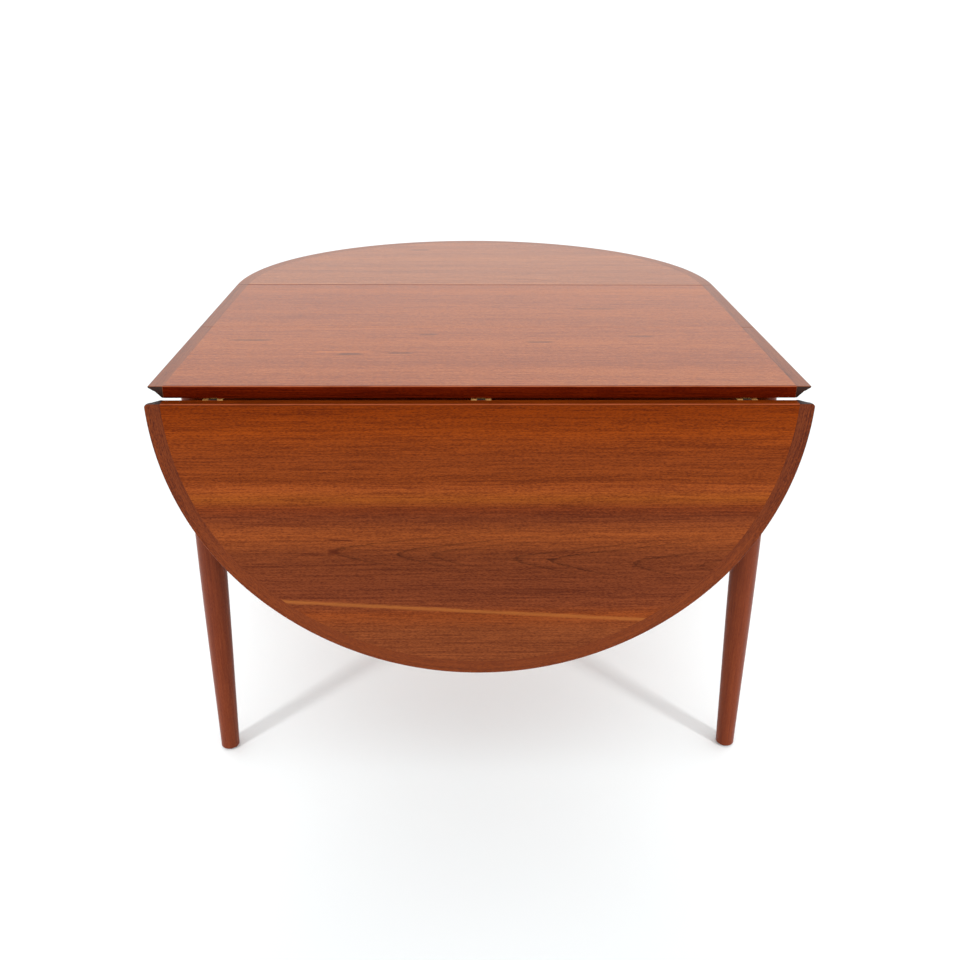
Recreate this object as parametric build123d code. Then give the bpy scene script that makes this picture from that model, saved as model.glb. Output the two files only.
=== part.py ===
from build123d import *
import os
from math import asin, atan2, cos, degrees, hypot, radians, sin, sqrt

# A draw-apart dining table with a D-shaped drop leaf at each end.
# Origin: on the floor, midway between the four feet. +X right, +Y to the rear, +Z up.
# Rest position: halves closed, front leaf hanging, rear leaf raised. All sizes in mm.

ENDS, SIDES = ("front", "rear"), ("left", "right")

# ---------------------------------------------------------------- overall sizes
TABLE_WIDTH = 1020.0
CENTRE_DEPTH = 668.0          # hinge edge to hinge edge, both halves closed
TABLE_HEIGHT = 725.0
TOP_THICKNESS = 19.0
LEAF_DEPTH = 490.0

HALF_WIDTH = TABLE_WIDTH / 2
HALF_DEPTH = CENTRE_DEPTH / 2
UNDERSIDE = TABLE_HEIGHT - TOP_THICKNESS

# ---------------------------------------------------------------- solid edges and gaps
END_STRIP_WIDTH = 23.0        # bevelled strip across each end of the grain
BAND_WIDTH = 24.0             # bevelled band round a leaf
LIPPING_WIDTH = 3.0           # solid edging along every hinge joint
BEVEL_WIDTH = 20.5
NOSE_HEIGHT = 2.0             # upright edge left above the bevel
NOSE_RADIUS = 1.0
BEVEL_HOLLOW = 1.2            # how far the bevel is scooped
BAND_CORNER_RADIUS = 6.0
MEETING_GAP = 0.2             # from the centre line to each half
HINGE_GAP = 0.3               # between a half and its raised leaf

# ---------------------------------------------------------------- leaf outline
LEAF_END_RADIUS = 476.0       # arc at each side of the D; the crown arc follows from it

# ---------------------------------------------------------------- legs and rails
LEG_TOP_X, LEG_TOP_Y = 454.6, 272.6
LEG_SPLAY = 9.7              # how far a foot stands out from its top, along X and along Y
# distance down a leg from its top, and the radius there
LEG_RADII = ((-12.0, 22.6), (140.0, 23.6), (270.0, 23.5), (400.0, 22.1), (550.0, 19.3), (716.0, 16.1))
FOOT_ROUND = 2.5
GLIDE_RADIUS, GLIDE_HEIGHT = 12.0, 2.5
GLIDE_NAIL_RADIUS, GLIDE_NAIL_LENGTH = 1.5, 12.0
RAIL_HEIGHT, RAIL_THICKNESS = 75.0, 22.0
TENON_THICKNESS, TENON_HEIGHT = 10.0, 55.0
TENON_START, TENON_END = 28.0, 10.0      # distances from the leg's axis
SHOULDER_GAP = 0.2            # round the leg where a rail is scribed to it
BLOCK_NEAR, BLOCK_FAR = 42.0, 75.0       # corner block, along each rail from the inner corner
BLOCK_HEIGHT = 60.0
BOLT_RADIUS, BOLT_REACH, BOLT_DEPTH = 4.0, 88.0, 12.0
BOLT_FIT, BOLT_CLEARANCE = 0.1, 0.3      # round the bolt in the leg and in the block
NUT_SIZE, NUT_THICKNESS = 15.0, 6.5

# ---------------------------------------------------------------- leaf hinges
HINGE_X = (-411.0, 0.0, 411.0)
HINGE_OUT = 4.9               # pin axis beyond the top's edge
HINGE_DROP = 4.6              # pin axis below the underside
HINGE_WIDTH = 31.0
MIDDLE_KNUCKLE = 13.0
KNUCKLE_RADIUS = 4.5
KNUCKLE_GAP = 0.25
PIN_RADIUS, PIN_CLEARANCE = 1.75, 0.05
PLATE_REACH = 34.0            # from the pin axis to the far edge of a plate
PLATE_THICKNESS = 2.0
PLATE_TAIL, PLATE_TAIL_DROP = 1.0, 0.1   # where a plate runs into its knuckle
PLATE_SET_BACK = 5.1          # where the plates stop short of the other half's knuckles
PLATE_SCREWS = ((-9.5, 26.0), (9.5, 26.0), (0.0, 14.0))    # along the hinge, out from the pin

# ---------------------------------------------------------------- folding stays
STAY_X = 205.0
STAY_INBOARD, STAY_DROP = 30.0, 40.0     # pivot from the hinge pin
STAY_LENGTH = 170.0
STAY_THICKNESS = 4.0
STAY_TIP_RADIUS, STAY_HUB_RADIUS = 5.0, 9.0
STAY_BUTTON = 5.0             # length of the sliding button at the tip
STAY_PIN_RADIUS, STAY_PIN_HEAD = 3.0, 6.0
RIVET_GAP, RIVET_HEAD = 0.5, 2.0
BRACKET_HALF_WIDTH, BRACKET_HALF_HEIGHT, BRACKET_THICKNESS = 16.0, 20.0, 2.0
BRACKET_SCREW_X, BRACKET_SCREW_LEVELS = 9.0, (-14.0, 14.0)
EAR_GAP, EAR_THICKNESS = 1.0, 3.0
TRACK_WEB, TRACK_FLANGE, TRACK_HEIGHT = 1.5, 1.2, 9.0
TRACK_FROM, TRACK_TO = 112.0, 228.0      # flanges, out from the hinge pin
TRACK_TAB = 15.0
TRACK_PLAY, TRACK_SIDE_PLAY = 0.3, 0.5

# ---------------------------------------------------------------- extending runners
RUNNER_X = 250.0
RUNNER_WIDTH, RUNNER_HEIGHT = 24.0, 38.0
RUNNER_PLAY = 0.5
RUNNER_RELIEF = 1.5           # a runner clears the half it isn't fixed to
RUNNER_FIXED_FROM = 4.0
RUNNER_LENGTH = 497.0
TONGUE_DEPTH, TONGUE_HEIGHT = 8.0, 10.0
RUNNER_SCREW_Y, RUNNER_SCREW_EDGE = (40.0, 130.0, 220.0), 6.0

# ---------------------------------------------------------------- meeting edge
DOWEL_X = (-400.0, -120.0, 120.0, 400.0)
DOWEL_RADIUS, DOWEL_IN, DOWEL_OUT, DOWEL_CHAMFER = 4.0, 20.0, 14.0, 2.0
DOWEL_GLUED_FIT, DOWEL_FREE_FIT, DOWEL_SPARE = 0.02, 0.08, 2.0
LOCK_PIVOT_Y, LOCK_POST_Y = -25.0, 24.0
LOCK_PLATE_WIDTH, LOCK_PLATE_THICKNESS = 60.0, 2.0
LOCK_PLATE_REACH, LOCK_KEEPER_REACH = 15.0, 12.0
LOCK_SCREW_BACK, LOCK_SCREW_EDGE = 9.0, 7.0
LOCK_LEVER_WIDTH, LOCK_LEVER_THICKNESS = 16.0, 3.0
LOCK_LEVER_GAP = 2.0          # between the plates and the lever, more than a screw head
LOCK_POST_RADIUS, LOCK_PLAY = 4.0, 0.6
LOCK_STUD_FIT, LOCK_STUD_HEAD = 0.08, 2.0
LOCK_LEVER_END, LOCK_KNOB_HEIGHT = 6.0, 8.0

# ---------------------------------------------------------------- screws
SCREW_RADIUS, SCREW_HEAD_RADIUS, SCREW_HEAD_HEIGHT = 1.75, 3.4, 1.5
SCREW_HOLE_CLEARANCE = 0.1
SCREW_LENGTH, RUNNER_SCREW_GRIP = 13.0, 12.0

# ---------------------------------------------------------------- worked out from the above
HINGE_Y = HALF_DEPTH + HINGE_OUT
HINGE_Z = UNDERSIDE - HINGE_DROP
LEAF_Y = HALF_DEPTH + HINGE_GAP
RAIL_BOTTOM = UNDERSIDE - RAIL_HEIGHT
RAIL_INNER_Y = LEG_TOP_Y - RAIL_THICKNESS / 2
RAIL_OUTER_Y = LEG_TOP_Y + RAIL_THICKNESS / 2
RAIL_INNER_X = LEG_TOP_X - RAIL_THICKNESS / 2
BUTTON_LEVEL = HINGE_DROP - TRACK_WEB - STAY_TIP_RADIUS - TRACK_PLAY
STAY_HANGING = degrees(asin((STAY_INBOARD + BUTTON_LEVEL) / STAY_LENGTH))
STAY_RAISED = 90 + degrees(asin((STAY_DROP + BUTTON_LEVEL) / STAY_LENGTH))


# ---------------------------------------------------------------- general helpers
def block(x0, x1, y0, y1, z0, z1):
    """A box between two corners."""
    return Pos((x0 + x1) / 2, (y0 + y1) / 2, (z0 + z1) / 2) * Box(x1 - x0, y1 - y0, z1 - z0)


def rod(start, end, radius):
    """A round rod between two points."""
    start, end = Vector(*start), Vector(*end)
    plane = Plane(start, z_dir=end - start)
    return extrude(plane * Circle(radius), (end - start).length)


def on_side(shape, side):
    """A right-hand piece, or its left-hand twin."""
    return mirror(shape, about=Plane.YZ) if side == "left" else shape


def on_end(shape, end):
    """A rear piece, or its front twin."""
    return mirror(shape, about=Plane.XZ) if end == "front" else shape


def on_leaf(shape, end):
    """A piece of the raised rear leaf, or its twin on the front leaf, which hangs."""
    if end == "rear":
        return shape
    front = mirror(shape, about=Plane.XZ)
    return front.rotate(Axis((0, -HINGE_Y, HINGE_Z), (1, 0, 0)), 90)


def screw(point, direction, grip):
    """A round-head wood screw whose head sits on the given point, driven along direction."""
    point, direction = Vector(*point), Vector(*direction)
    head = rod(point - direction * SCREW_HEAD_HEIGHT, point, SCREW_HEAD_RADIUS)
    return head + rod(point - direction * SCREW_HEAD_HEIGHT / 2, point + direction * grip, SCREW_RADIUS)


def screw_hole(point, direction):
    """The clearance hole that a thin plate has for a screw."""
    point, direction = Vector(*point), Vector(*direction)
    reach = direction * (TOP_THICKNESS / 2)
    return rod(point - reach, point + reach, SCREW_RADIUS + SCREW_HOLE_CLEARANCE)


# ---------------------------------------------------------------- top boards
def edge_section(width):
    """Section of a bevelled solid edge: joint at x = 0, tip at x = width, underside at y = 0."""
    bevel_top = TOP_THICKNESS - NOSE_HEIGHT
    chord = hypot(BEVEL_WIDTH, bevel_top)
    middle = (
        width - BEVEL_WIDTH / 2 - BEVEL_HOLLOW * bevel_top / chord,
        bevel_top / 2 + BEVEL_HOLLOW * BEVEL_WIDTH / chord,
    )
    nose = NOSE_RADIUS * (1 - sqrt(0.5))
    outline = [
        Line((0, 0), (0, TOP_THICKNESS)),
        Line((0, TOP_THICKNESS), (width - NOSE_RADIUS, TOP_THICKNESS)),
        ThreePointArc(
            (width - NOSE_RADIUS, TOP_THICKNESS),
            (width - nose, TOP_THICKNESS - nose),
            (width, TOP_THICKNESS - NOSE_RADIUS),
        ),
        Line((width, TOP_THICKNESS - NOSE_RADIUS), (width, bevel_top)),
        ThreePointArc((width, bevel_top), middle, (width - BEVEL_WIDTH, 0)),
        Line((width - BEVEL_WIDTH, 0), (0, 0)),
    ]
    return make_face(outline)


def top_panel(end):
    """The veneered board of one half, with dowel holes in its meeting edge."""
    half_length = HALF_WIDTH - END_STRIP_WIDTH
    panel = block(-half_length, half_length, MEETING_GAP, HALF_DEPTH - LIPPING_WIDTH, UNDERSIDE, TABLE_HEIGHT)
    depth = DOWEL_IN if end == "front" else DOWEL_OUT + DOWEL_SPARE
    radius = DOWEL_RADIUS + (DOWEL_GLUED_FIT if end == "front" else DOWEL_FREE_FIT)
    level = UNDERSIDE + TOP_THICKNESS / 2
    for x in DOWEL_X:
        panel -= rod((x, 0, level), (x, depth, level), radius)
    return on_end(panel, end)


def top_lipping():
    """The solid edging along a half's hinge edge, between its end strips."""
    half_length = HALF_WIDTH - END_STRIP_WIDTH
    return block(-half_length, half_length, HALF_DEPTH - LIPPING_WIDTH, HALF_DEPTH, UNDERSIDE, TABLE_HEIGHT)


def end_strip():
    """The bevelled strip across the right-hand end of one half."""
    start = Plane((HALF_WIDTH - END_STRIP_WIDTH, HALF_DEPTH, UNDERSIDE), x_dir=(1, 0, 0), z_dir=(0, -1, 0))
    return extrude(start * edge_section(END_STRIP_WIDTH), HALF_DEPTH - MEETING_GAP)


# ---------------------------------------------------------------- leaves, in the raised rear position
def leaf_arcs():
    """The D outline as three tangent arcs: (centre x, centre y, radius, start angle, turn)."""
    side_x = HALF_WIDTH - LEAF_END_RADIUS
    drop = LEAF_DEPTH - LEAF_END_RADIUS
    crown_radius = LEAF_END_RADIUS + (side_x**2 + drop**2) / (2 * drop)
    crown_y = LEAF_DEPTH - crown_radius
    join = degrees(atan2(-crown_y, side_x))
    return (
        (side_x, 0.0, LEAF_END_RADIUS, 0.0, join),
        (0.0, crown_y, crown_radius, join, 180 - 2 * join),
        (-side_x, 0.0, LEAF_END_RADIUS, 180 - join, join),
    )


def leaf_panel():
    """The veneered field of a leaf, inside its band and lipping."""
    edges = [
        CenterArc((x, y), radius - BAND_WIDTH, start, turn)
        for x, y, radius, start, turn in leaf_arcs()
    ]
    left, right = edges[-1] @ 1, edges[0] @ 0
    field = extrude(make_face(edges + [Line(left, right)]), TOP_THICKNESS)
    field -= block(-HALF_WIDTH, HALF_WIDTH, -1, LIPPING_WIDTH, -1, TOP_THICKNESS + 1)
    return Pos(0, LEAF_Y, UNDERSIDE) * field


def leaf_lipping():
    """The solid edging along a leaf's hinge edge, between the ends of its band."""
    half_length = HALF_WIDTH - BAND_WIDTH
    strip = block(-half_length, half_length, 0, LIPPING_WIDTH, 0, TOP_THICKNESS)
    side_x, side_y, radius, _, _ = leaf_arcs()[0]
    inside = Pos(side_x, side_y) * extrude(Circle(radius - BAND_WIDTH), TOP_THICKNESS)
    middle = block(-side_x, side_x, -1, LIPPING_WIDTH + 1, 0, TOP_THICKNESS)
    strip &= inside + middle + mirror(inside, about=Plane.YZ)
    return Pos(0, LEAF_Y, UNDERSIDE) * strip


def leaf_band():
    """The bevelled solid band round a leaf's curve."""
    section = edge_section(BAND_WIDTH)
    band = None
    for x, y, radius, start, turn in leaf_arcs():
        out = Vector(cos(radians(start)), sin(radians(start)), 0)
        inner_edge = Vector(x, y, 0) + out * (radius - BAND_WIDTH)
        plane = Plane(inner_edge, x_dir=out, z_dir=out.cross(Vector(0, 0, 1)))
        piece = revolve(plane * section, Axis((x, y, 0), (0, 0, 1)), turn)
        band = piece if band is None else band + piece
    x, y = HALF_WIDTH - BAND_CORNER_RADIUS, BAND_CORNER_RADIUS
    waste = block(x, HALF_WIDTH + 1, -1, y, -1, TOP_THICKNESS + 1)
    waste -= Pos(x, y, TOP_THICKNESS / 2) * Cylinder(BAND_CORNER_RADIUS, 2 * TOP_THICKNESS)
    band = band - waste - mirror(waste, about=Plane.YZ)
    return Pos(0, LEAF_Y, UNDERSIDE) * band


# ---------------------------------------------------------------- legs and rails, rear right
def leg_blank(extra=0.0):
    """A turned leg about its splayed axis, longer than needed, grown by extra all round."""
    points = [(radius + extra, -depth) for depth, radius in LEG_RADII]
    top, bottom = points[0][1], points[-1][1]
    outline = [
        Line((0, top), points[0]),
        Spline(*points),
        Line(points[-1], (0, bottom)),
        Line((0, bottom), (0, top)),
    ]
    turned = revolve(Plane.XZ * make_face(outline), Axis.Z)
    head = Vector(LEG_TOP_X, LEG_TOP_Y, UNDERSIDE)
    foot = Vector(LEG_TOP_X + LEG_SPLAY, LEG_TOP_Y + LEG_SPLAY, 0)
    return Plane(head, z_dir=head - foot).location * turned


def apron_tenon():
    """The tenon of the end rail in the right-hand leg."""
    return block(LEG_TOP_X - TENON_START, LEG_TOP_X - TENON_END,
                 LEG_TOP_Y - TENON_THICKNESS / 2, LEG_TOP_Y + TENON_THICKNESS / 2,
                 RAIL_BOTTOM + (RAIL_HEIGHT - TENON_HEIGHT) / 2, UNDERSIDE - (RAIL_HEIGHT - TENON_HEIGHT) / 2)


def side_tenon():
    """The tenon of the side rail in the same leg."""
    return block(LEG_TOP_X - TENON_THICKNESS / 2, LEG_TOP_X + TENON_THICKNESS / 2,
                 LEG_TOP_Y - TENON_START, LEG_TOP_Y - TENON_END,
                 RAIL_BOTTOM + (RAIL_HEIGHT - TENON_HEIGHT) / 2, UNDERSIDE - (RAIL_HEIGHT - TENON_HEIGHT) / 2)


def bolt_line(reach):
    """A point on the leg bolt's line, reach inwards along the diagonal from the leg's axis."""
    step = reach / sqrt(2)
    return (LEG_TOP_X - step, LEG_TOP_Y - step, UNDERSIDE - RAIL_HEIGHT / 2)


def foot_centre():
    """Where the leg's axis meets the glide."""
    share = 1 - GLIDE_HEIGHT / UNDERSIDE
    return LEG_TOP_X + LEG_SPLAY * share, LEG_TOP_Y + LEG_SPLAY * share


def leg():
    """A leg with mortises for both rails, its bolt hole and its glide's nail hole."""
    slab = block(0, HALF_WIDTH, 0, HALF_DEPTH, GLIDE_HEIGHT, UNDERSIDE)
    post = leg_blank() & slab
    post = fillet(post.edges().sort_by(Axis.Z)[0], FOOT_ROUND)
    x, y = foot_centre()
    nail_top = GLIDE_HEIGHT + GLIDE_NAIL_LENGTH + 1
    post -= rod((x, y, 0), (x, y, nail_top), GLIDE_NAIL_RADIUS + SCREW_HOLE_CLEARANCE)
    bolt_hole = rod(bolt_line(BOLT_DEPTH - 1), bolt_line(BOLT_REACH), BOLT_RADIUS + BOLT_FIT)
    return post - apron_tenon() - side_tenon() - bolt_hole


def apron():
    """The end rail between the two legs of one half."""
    rail = block(-LEG_TOP_X, LEG_TOP_X, RAIL_INNER_Y, RAIL_OUTER_Y, RAIL_BOTTOM, UNDERSIDE)
    scribed = leg_blank(SHOULDER_GAP)
    rail = rail - scribed - mirror(scribed, about=Plane.YZ)
    return rail + apron_tenon() + mirror(apron_tenon(), about=Plane.YZ)


def side_rail():
    """The rail from the leg to the meeting edge."""
    rail = block(RAIL_INNER_X, LEG_TOP_X + RAIL_THICKNESS / 2, MEETING_GAP, LEG_TOP_Y, RAIL_BOTTOM, UNDERSIDE)
    return rail - leg_blank(SHOULDER_GAP) + side_tenon()


def corner_block():
    """The diagonal block that the leg bolt pulls against."""
    x, y = RAIL_INNER_X, RAIL_INNER_Y
    near, far = BLOCK_NEAR, BLOCK_FAR
    plan = Polyline((x - near, y), (x, y - near), (x, y - far), (x - far, y), close=True)
    body = Pos(0, 0, UNDERSIDE - BLOCK_HEIGHT) * extrude(make_face(plan), BLOCK_HEIGHT)
    return body - rod(bolt_line(0), bolt_line(2 * BOLT_REACH), BOLT_RADIUS + BOLT_CLEARANCE)


def leg_bolt():
    """The bolt in the leg and its nut behind the corner block."""
    far_face = (LEG_TOP_X - RAIL_INNER_X + LEG_TOP_Y - RAIL_INNER_Y + BLOCK_FAR) / sqrt(2)
    shank = rod(bolt_line(BOLT_DEPTH), bolt_line(BOLT_REACH), BOLT_RADIUS)
    seat = Plane(Vector(*bolt_line(far_face)), z_dir=(-1, -1, 0))
    return shank + extrude(seat * RegularPolygon(NUT_SIZE / 2, 6), NUT_THICKNESS)


def glide():
    """The nail-on glide under a foot."""
    x, y = foot_centre()
    pad = Pos(x, y, GLIDE_HEIGHT / 2) * Cylinder(GLIDE_RADIUS, GLIDE_HEIGHT)
    return pad + rod((x, y, GLIDE_HEIGHT / 2), (x, y, GLIDE_HEIGHT + GLIDE_NAIL_LENGTH), GLIDE_NAIL_RADIUS)


# ---------------------------------------------------------------- hinges, in the raised rear position
def knuckle(x, length):
    """One knuckle with its pin hole, centred at x."""
    outer = rod((x - length / 2, HINGE_Y, HINGE_Z), (x + length / 2, HINGE_Y, HINGE_Z), KNUCKLE_RADIUS)
    reach = length / 2 + 1
    hole = rod((x - reach, HINGE_Y, HINGE_Z), (x + reach, HINGE_Y, HINGE_Z), PIN_RADIUS + PIN_CLEARANCE)
    return outer, hole


def hinge_plate(x, toward):
    """One plate of a hinge: toward = -1 is screwed to the top, +1 to the leaf."""
    near, far = HINGE_Y + toward * PLATE_SET_BACK, HINGE_Y + toward * PLATE_REACH
    z0, z1 = UNDERSIDE - PLATE_THICKNESS, UNDERSIDE
    half = HINGE_WIDTH / 2
    plate = block(x - half, x + half, min(near, far), max(near, far), z0, z1)
    outer_length = (HINGE_WIDTH - MIDDLE_KNUCKLE) / 2 - KNUCKLE_GAP
    knuckles = [(x, MIDDLE_KNUCKLE)] if toward > 0 else [
        (x - half + outer_length / 2, outer_length), (x + half - outer_length / 2, outer_length)]
    for centre, length in knuckles:
        outer, hole = knuckle(centre, length)
        tail = sorted((HINGE_Y + toward * PLATE_TAIL, near))
        plate += block(centre - length / 2, centre + length / 2, *tail, z0, z1 - PLATE_TAIL_DROP)
        plate = plate + outer - hole
    for along, out in PLATE_SCREWS:
        plate -= screw_hole((x + along, HINGE_Y + toward * out, z0), (0, 0, 1))
    return plate


def hinge_plates(toward):
    """The plates of all three hinges on one side of the joint."""
    return [hinge_plate(x, toward) for x in HINGE_X]


def hinge_pins():
    """The three hinge pins of one leaf."""
    half = HINGE_WIDTH / 2
    return [rod((x - half, HINGE_Y, HINGE_Z), (x + half, HINGE_Y, HINGE_Z), PIN_RADIUS) for x in HINGE_X]


def hinge_screws(toward):
    """The screws of three hinge plates."""
    level = UNDERSIDE - PLATE_THICKNESS
    return [
        screw((x + along, HINGE_Y + toward * out, level), (0, 0, 1), SCREW_LENGTH)
        for x in HINGE_X
        for along, out in PLATE_SCREWS
    ]


# ---------------------------------------------------------------- stays, rear right
def stay_pivot():
    """The stay's pivot, as Y and Z."""
    return HINGE_Y - STAY_INBOARD, HINGE_Z - STAY_DROP


def stay(swing):
    """A stay arm turned by swing degrees from straight down, with the button that runs in the track."""
    y, z = stay_pivot()
    half = STAY_THICKNESS / 2
    bar = block(-half, half, -STAY_TIP_RADIUS, STAY_TIP_RADIUS, -STAY_LENGTH, 0)
    hub = rod((-half, 0, 0), (half, 0, 0), STAY_HUB_RADIUS)
    button = rod((-half - STAY_BUTTON, 0, -STAY_LENGTH), (half, 0, -STAY_LENGTH), STAY_TIP_RADIUS)
    hole = rod((-half - 1, 0, 0), (half + 1, 0, 0), STAY_PIN_RADIUS + PIN_CLEARANCE)
    arm = (bar + hub + button - hole).rotate(Axis.X, swing)
    return Pos(STAY_X, y, z) * arm


def stay_bracket():
    """The bracket on the rail's outer face, with the stay's riveted pivot."""
    y, z = stay_pivot()
    half = STAY_THICKNESS / 2
    foot = block(STAY_X - BRACKET_HALF_WIDTH, STAY_X + BRACKET_HALF_WIDTH, RAIL_OUTER_Y,
                 RAIL_OUTER_Y + BRACKET_THICKNESS, z - BRACKET_HALF_HEIGHT, z + BRACKET_HALF_HEIGHT)
    ear_from = STAY_X + half + EAR_GAP
    ear_to = ear_from + EAR_THICKNESS
    ear = block(ear_from, ear_to, RAIL_OUTER_Y, y, z - STAY_HUB_RADIUS, z + STAY_HUB_RADIUS)
    ear += rod((ear_from, y, z), (ear_to, y, z), STAY_HUB_RADIUS)
    head_at = STAY_X - half - RIVET_GAP
    pivot = rod((head_at, y, z), (ear_to, y, z), STAY_PIN_RADIUS)
    head = rod((head_at - RIVET_HEAD, y, z), (head_at, y, z), STAY_PIN_HEAD)
    bracket = foot + ear + pivot + head
    for point in stay_bracket_screws():
        bracket -= screw_hole(point, (0, -1, 0))
    return bracket


def stay_bracket_screws():
    """Where the bracket's screw heads sit."""
    _, z = stay_pivot()
    seat = RAIL_OUTER_Y + BRACKET_THICKNESS
    return [(STAY_X - BRACKET_SCREW_X, seat, z + level) for level in BRACKET_SCREW_LEVELS]


def stay_track():
    """The channel under a leaf that the stay's button runs in."""
    inner_low = STAY_X - STAY_THICKNESS / 2 - STAY_BUTTON - TRACK_SIDE_PLAY
    inner_high = STAY_X + STAY_THICKNESS / 2 + TRACK_SIDE_PLAY
    y0, y1 = HINGE_Y + TRACK_FROM, HINGE_Y + TRACK_TO
    low, high = inner_low - TRACK_FLANGE, inner_high + TRACK_FLANGE
    web = block(low, high, y0 - TRACK_TAB, y1 + TRACK_TAB, UNDERSIDE - TRACK_WEB, UNDERSIDE)
    flanges = block(low, inner_low, y0, y1, UNDERSIDE - TRACK_HEIGHT, UNDERSIDE)
    flanges += block(inner_high, high, y0, y1, UNDERSIDE - TRACK_HEIGHT, UNDERSIDE)
    track = web + flanges
    for point in stay_track_screws():
        track -= screw_hole(point, (0, 0, 1))
    return track


def stay_track_screws():
    """Where the track's screw heads sit, one on each end tab."""
    middle = STAY_X - STAY_BUTTON / 2
    ends = (HINGE_Y + TRACK_FROM - TRACK_TAB / 2, HINGE_Y + TRACK_TO + TRACK_TAB / 2)
    return [(middle, y, UNDERSIDE - TRACK_WEB) for y in ends]


# ---------------------------------------------------------------- runners, right
def runner(end):
    """A runner screwed under one half: inner for the front, outer for the rear."""
    offset = (RUNNER_WIDTH + RUNNER_PLAY) * (1 if end == "rear" else -1)
    x0 = RUNNER_X + offset - RUNNER_WIDTH / 2
    x1 = x0 + RUNNER_WIDTH
    far = RAIL_INNER_Y - 1
    top, bottom = UNDERSIDE - RUNNER_RELIEF, UNDERSIDE - RUNNER_HEIGHT
    bar = block(x0, x1, far - RUNNER_LENGTH, far, bottom, top)
    bar += block(x0, x1, RUNNER_FIXED_FROM, far, bottom, UNDERSIDE)
    middle = (top + bottom) / 2
    groove_half = TONGUE_HEIGHT / 2 + RUNNER_PLAY
    side = x0 if end == "rear" else x1
    depth = TONGUE_DEPTH + RUNNER_PLAY
    near = far - RUNNER_LENGTH
    bar -= block(side - depth, side + depth, near, far, middle - groove_half, middle + groove_half)
    return on_end(bar, end)


def runner_middle():
    """The runner that slides between the other two, with a tongue on each side."""
    top, bottom = UNDERSIDE - RUNNER_RELIEF, UNDERSIDE - RUNNER_HEIGHT
    middle = (top + bottom) / 2
    half, wide = RUNNER_WIDTH / 2, RUNNER_WIDTH / 2 + TONGUE_DEPTH
    length = RUNNER_LENGTH / 2
    bar = block(RUNNER_X - half, RUNNER_X + half, -length, length, bottom, top)
    return bar + block(RUNNER_X - wide, RUNNER_X + wide, -length, length,
                       middle - TONGUE_HEIGHT / 2, middle + TONGUE_HEIGHT / 2)


def runner_screws(end):
    """The screws that hold both runners of one half, heads on the runners' undersides."""
    offset = (RUNNER_WIDTH + RUNNER_PLAY) * (1 if end == "rear" else -1)
    # past the groove, on the side away from the middle runner
    x = RUNNER_X + offset + (RUNNER_WIDTH / 2 - RUNNER_SCREW_EDGE) * (1 if end == "rear" else -1)
    level = UNDERSIDE - RUNNER_HEIGHT
    return [
        screw((sign * x, y, level), (0, 0, 1), RUNNER_HEIGHT + RUNNER_SCREW_GRIP)
        for sign in (-1, 1)
        for y in RUNNER_SCREW_Y
    ]


# ---------------------------------------------------------------- meeting edge
def dowels():
    """The dowels glued in the front half's meeting edge."""
    level = UNDERSIDE + TOP_THICKNESS / 2
    pegs = []
    for x in DOWEL_X:
        peg = rod((x, -DOWEL_IN, level), (x, DOWEL_OUT, level), DOWEL_RADIUS)
        pegs.append(chamfer(peg.edges().sort_by(Axis.Y)[-1], DOWEL_CHAMFER))
    return pegs


def lock_plate():
    """The lock's plate under the front half, with the stud that its lever turns on."""
    half = LOCK_PLATE_WIDTH / 2
    plate = block(-half, half, LOCK_PIVOT_Y - LOCK_PLATE_REACH, LOCK_PIVOT_Y + LOCK_PLATE_REACH,
                  UNDERSIDE - LOCK_PLATE_THICKNESS, UNDERSIDE)
    lever_bottom = UNDERSIDE - LOCK_PLATE_THICKNESS - LOCK_LEVER_GAP - LOCK_LEVER_THICKNESS
    head_top = lever_bottom - RIVET_GAP
    neck = (0, LOCK_PIVOT_Y, head_top)
    plate += rod(neck, (0, LOCK_PIVOT_Y, UNDERSIDE), LOCK_POST_RADIUS)
    plate += rod((0, LOCK_PIVOT_Y, head_top - LOCK_STUD_HEAD), neck, 2 * LOCK_POST_RADIUS)
    for point in lock_screws("front"):
        plate -= screw_hole(point, (0, 0, 1))
    return plate


def lock_keeper():
    """The keeper under the rear half, with the post that the lever hooks."""
    half = LOCK_PLATE_WIDTH / 2
    plate = block(-half, half, LOCK_POST_Y - LOCK_KEEPER_REACH, LOCK_POST_Y + LOCK_KEEPER_REACH,
                  UNDERSIDE - LOCK_PLATE_THICKNESS, UNDERSIDE)
    post_bottom = UNDERSIDE - LOCK_PLATE_THICKNESS - LOCK_LEVER_GAP - LOCK_LEVER_THICKNESS - LOCK_STUD_HEAD
    plate += rod((0, LOCK_POST_Y, post_bottom), (0, LOCK_POST_Y, UNDERSIDE), LOCK_POST_RADIUS)
    for point in lock_screws("rear"):
        plate -= screw_hole(point, (0, 0, 1))
    return plate


def lock_screws(end):
    """Where the lock's screw heads sit on the front or the rear half."""
    x = LOCK_PLATE_WIDTH / 2 - LOCK_SCREW_EDGE
    y = LOCK_PIVOT_Y - LOCK_SCREW_BACK if end == "front" else LOCK_POST_Y
    return [(sign * x, y, UNDERSIDE - LOCK_PLATE_THICKNESS) for sign in (-1, 1)]


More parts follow.
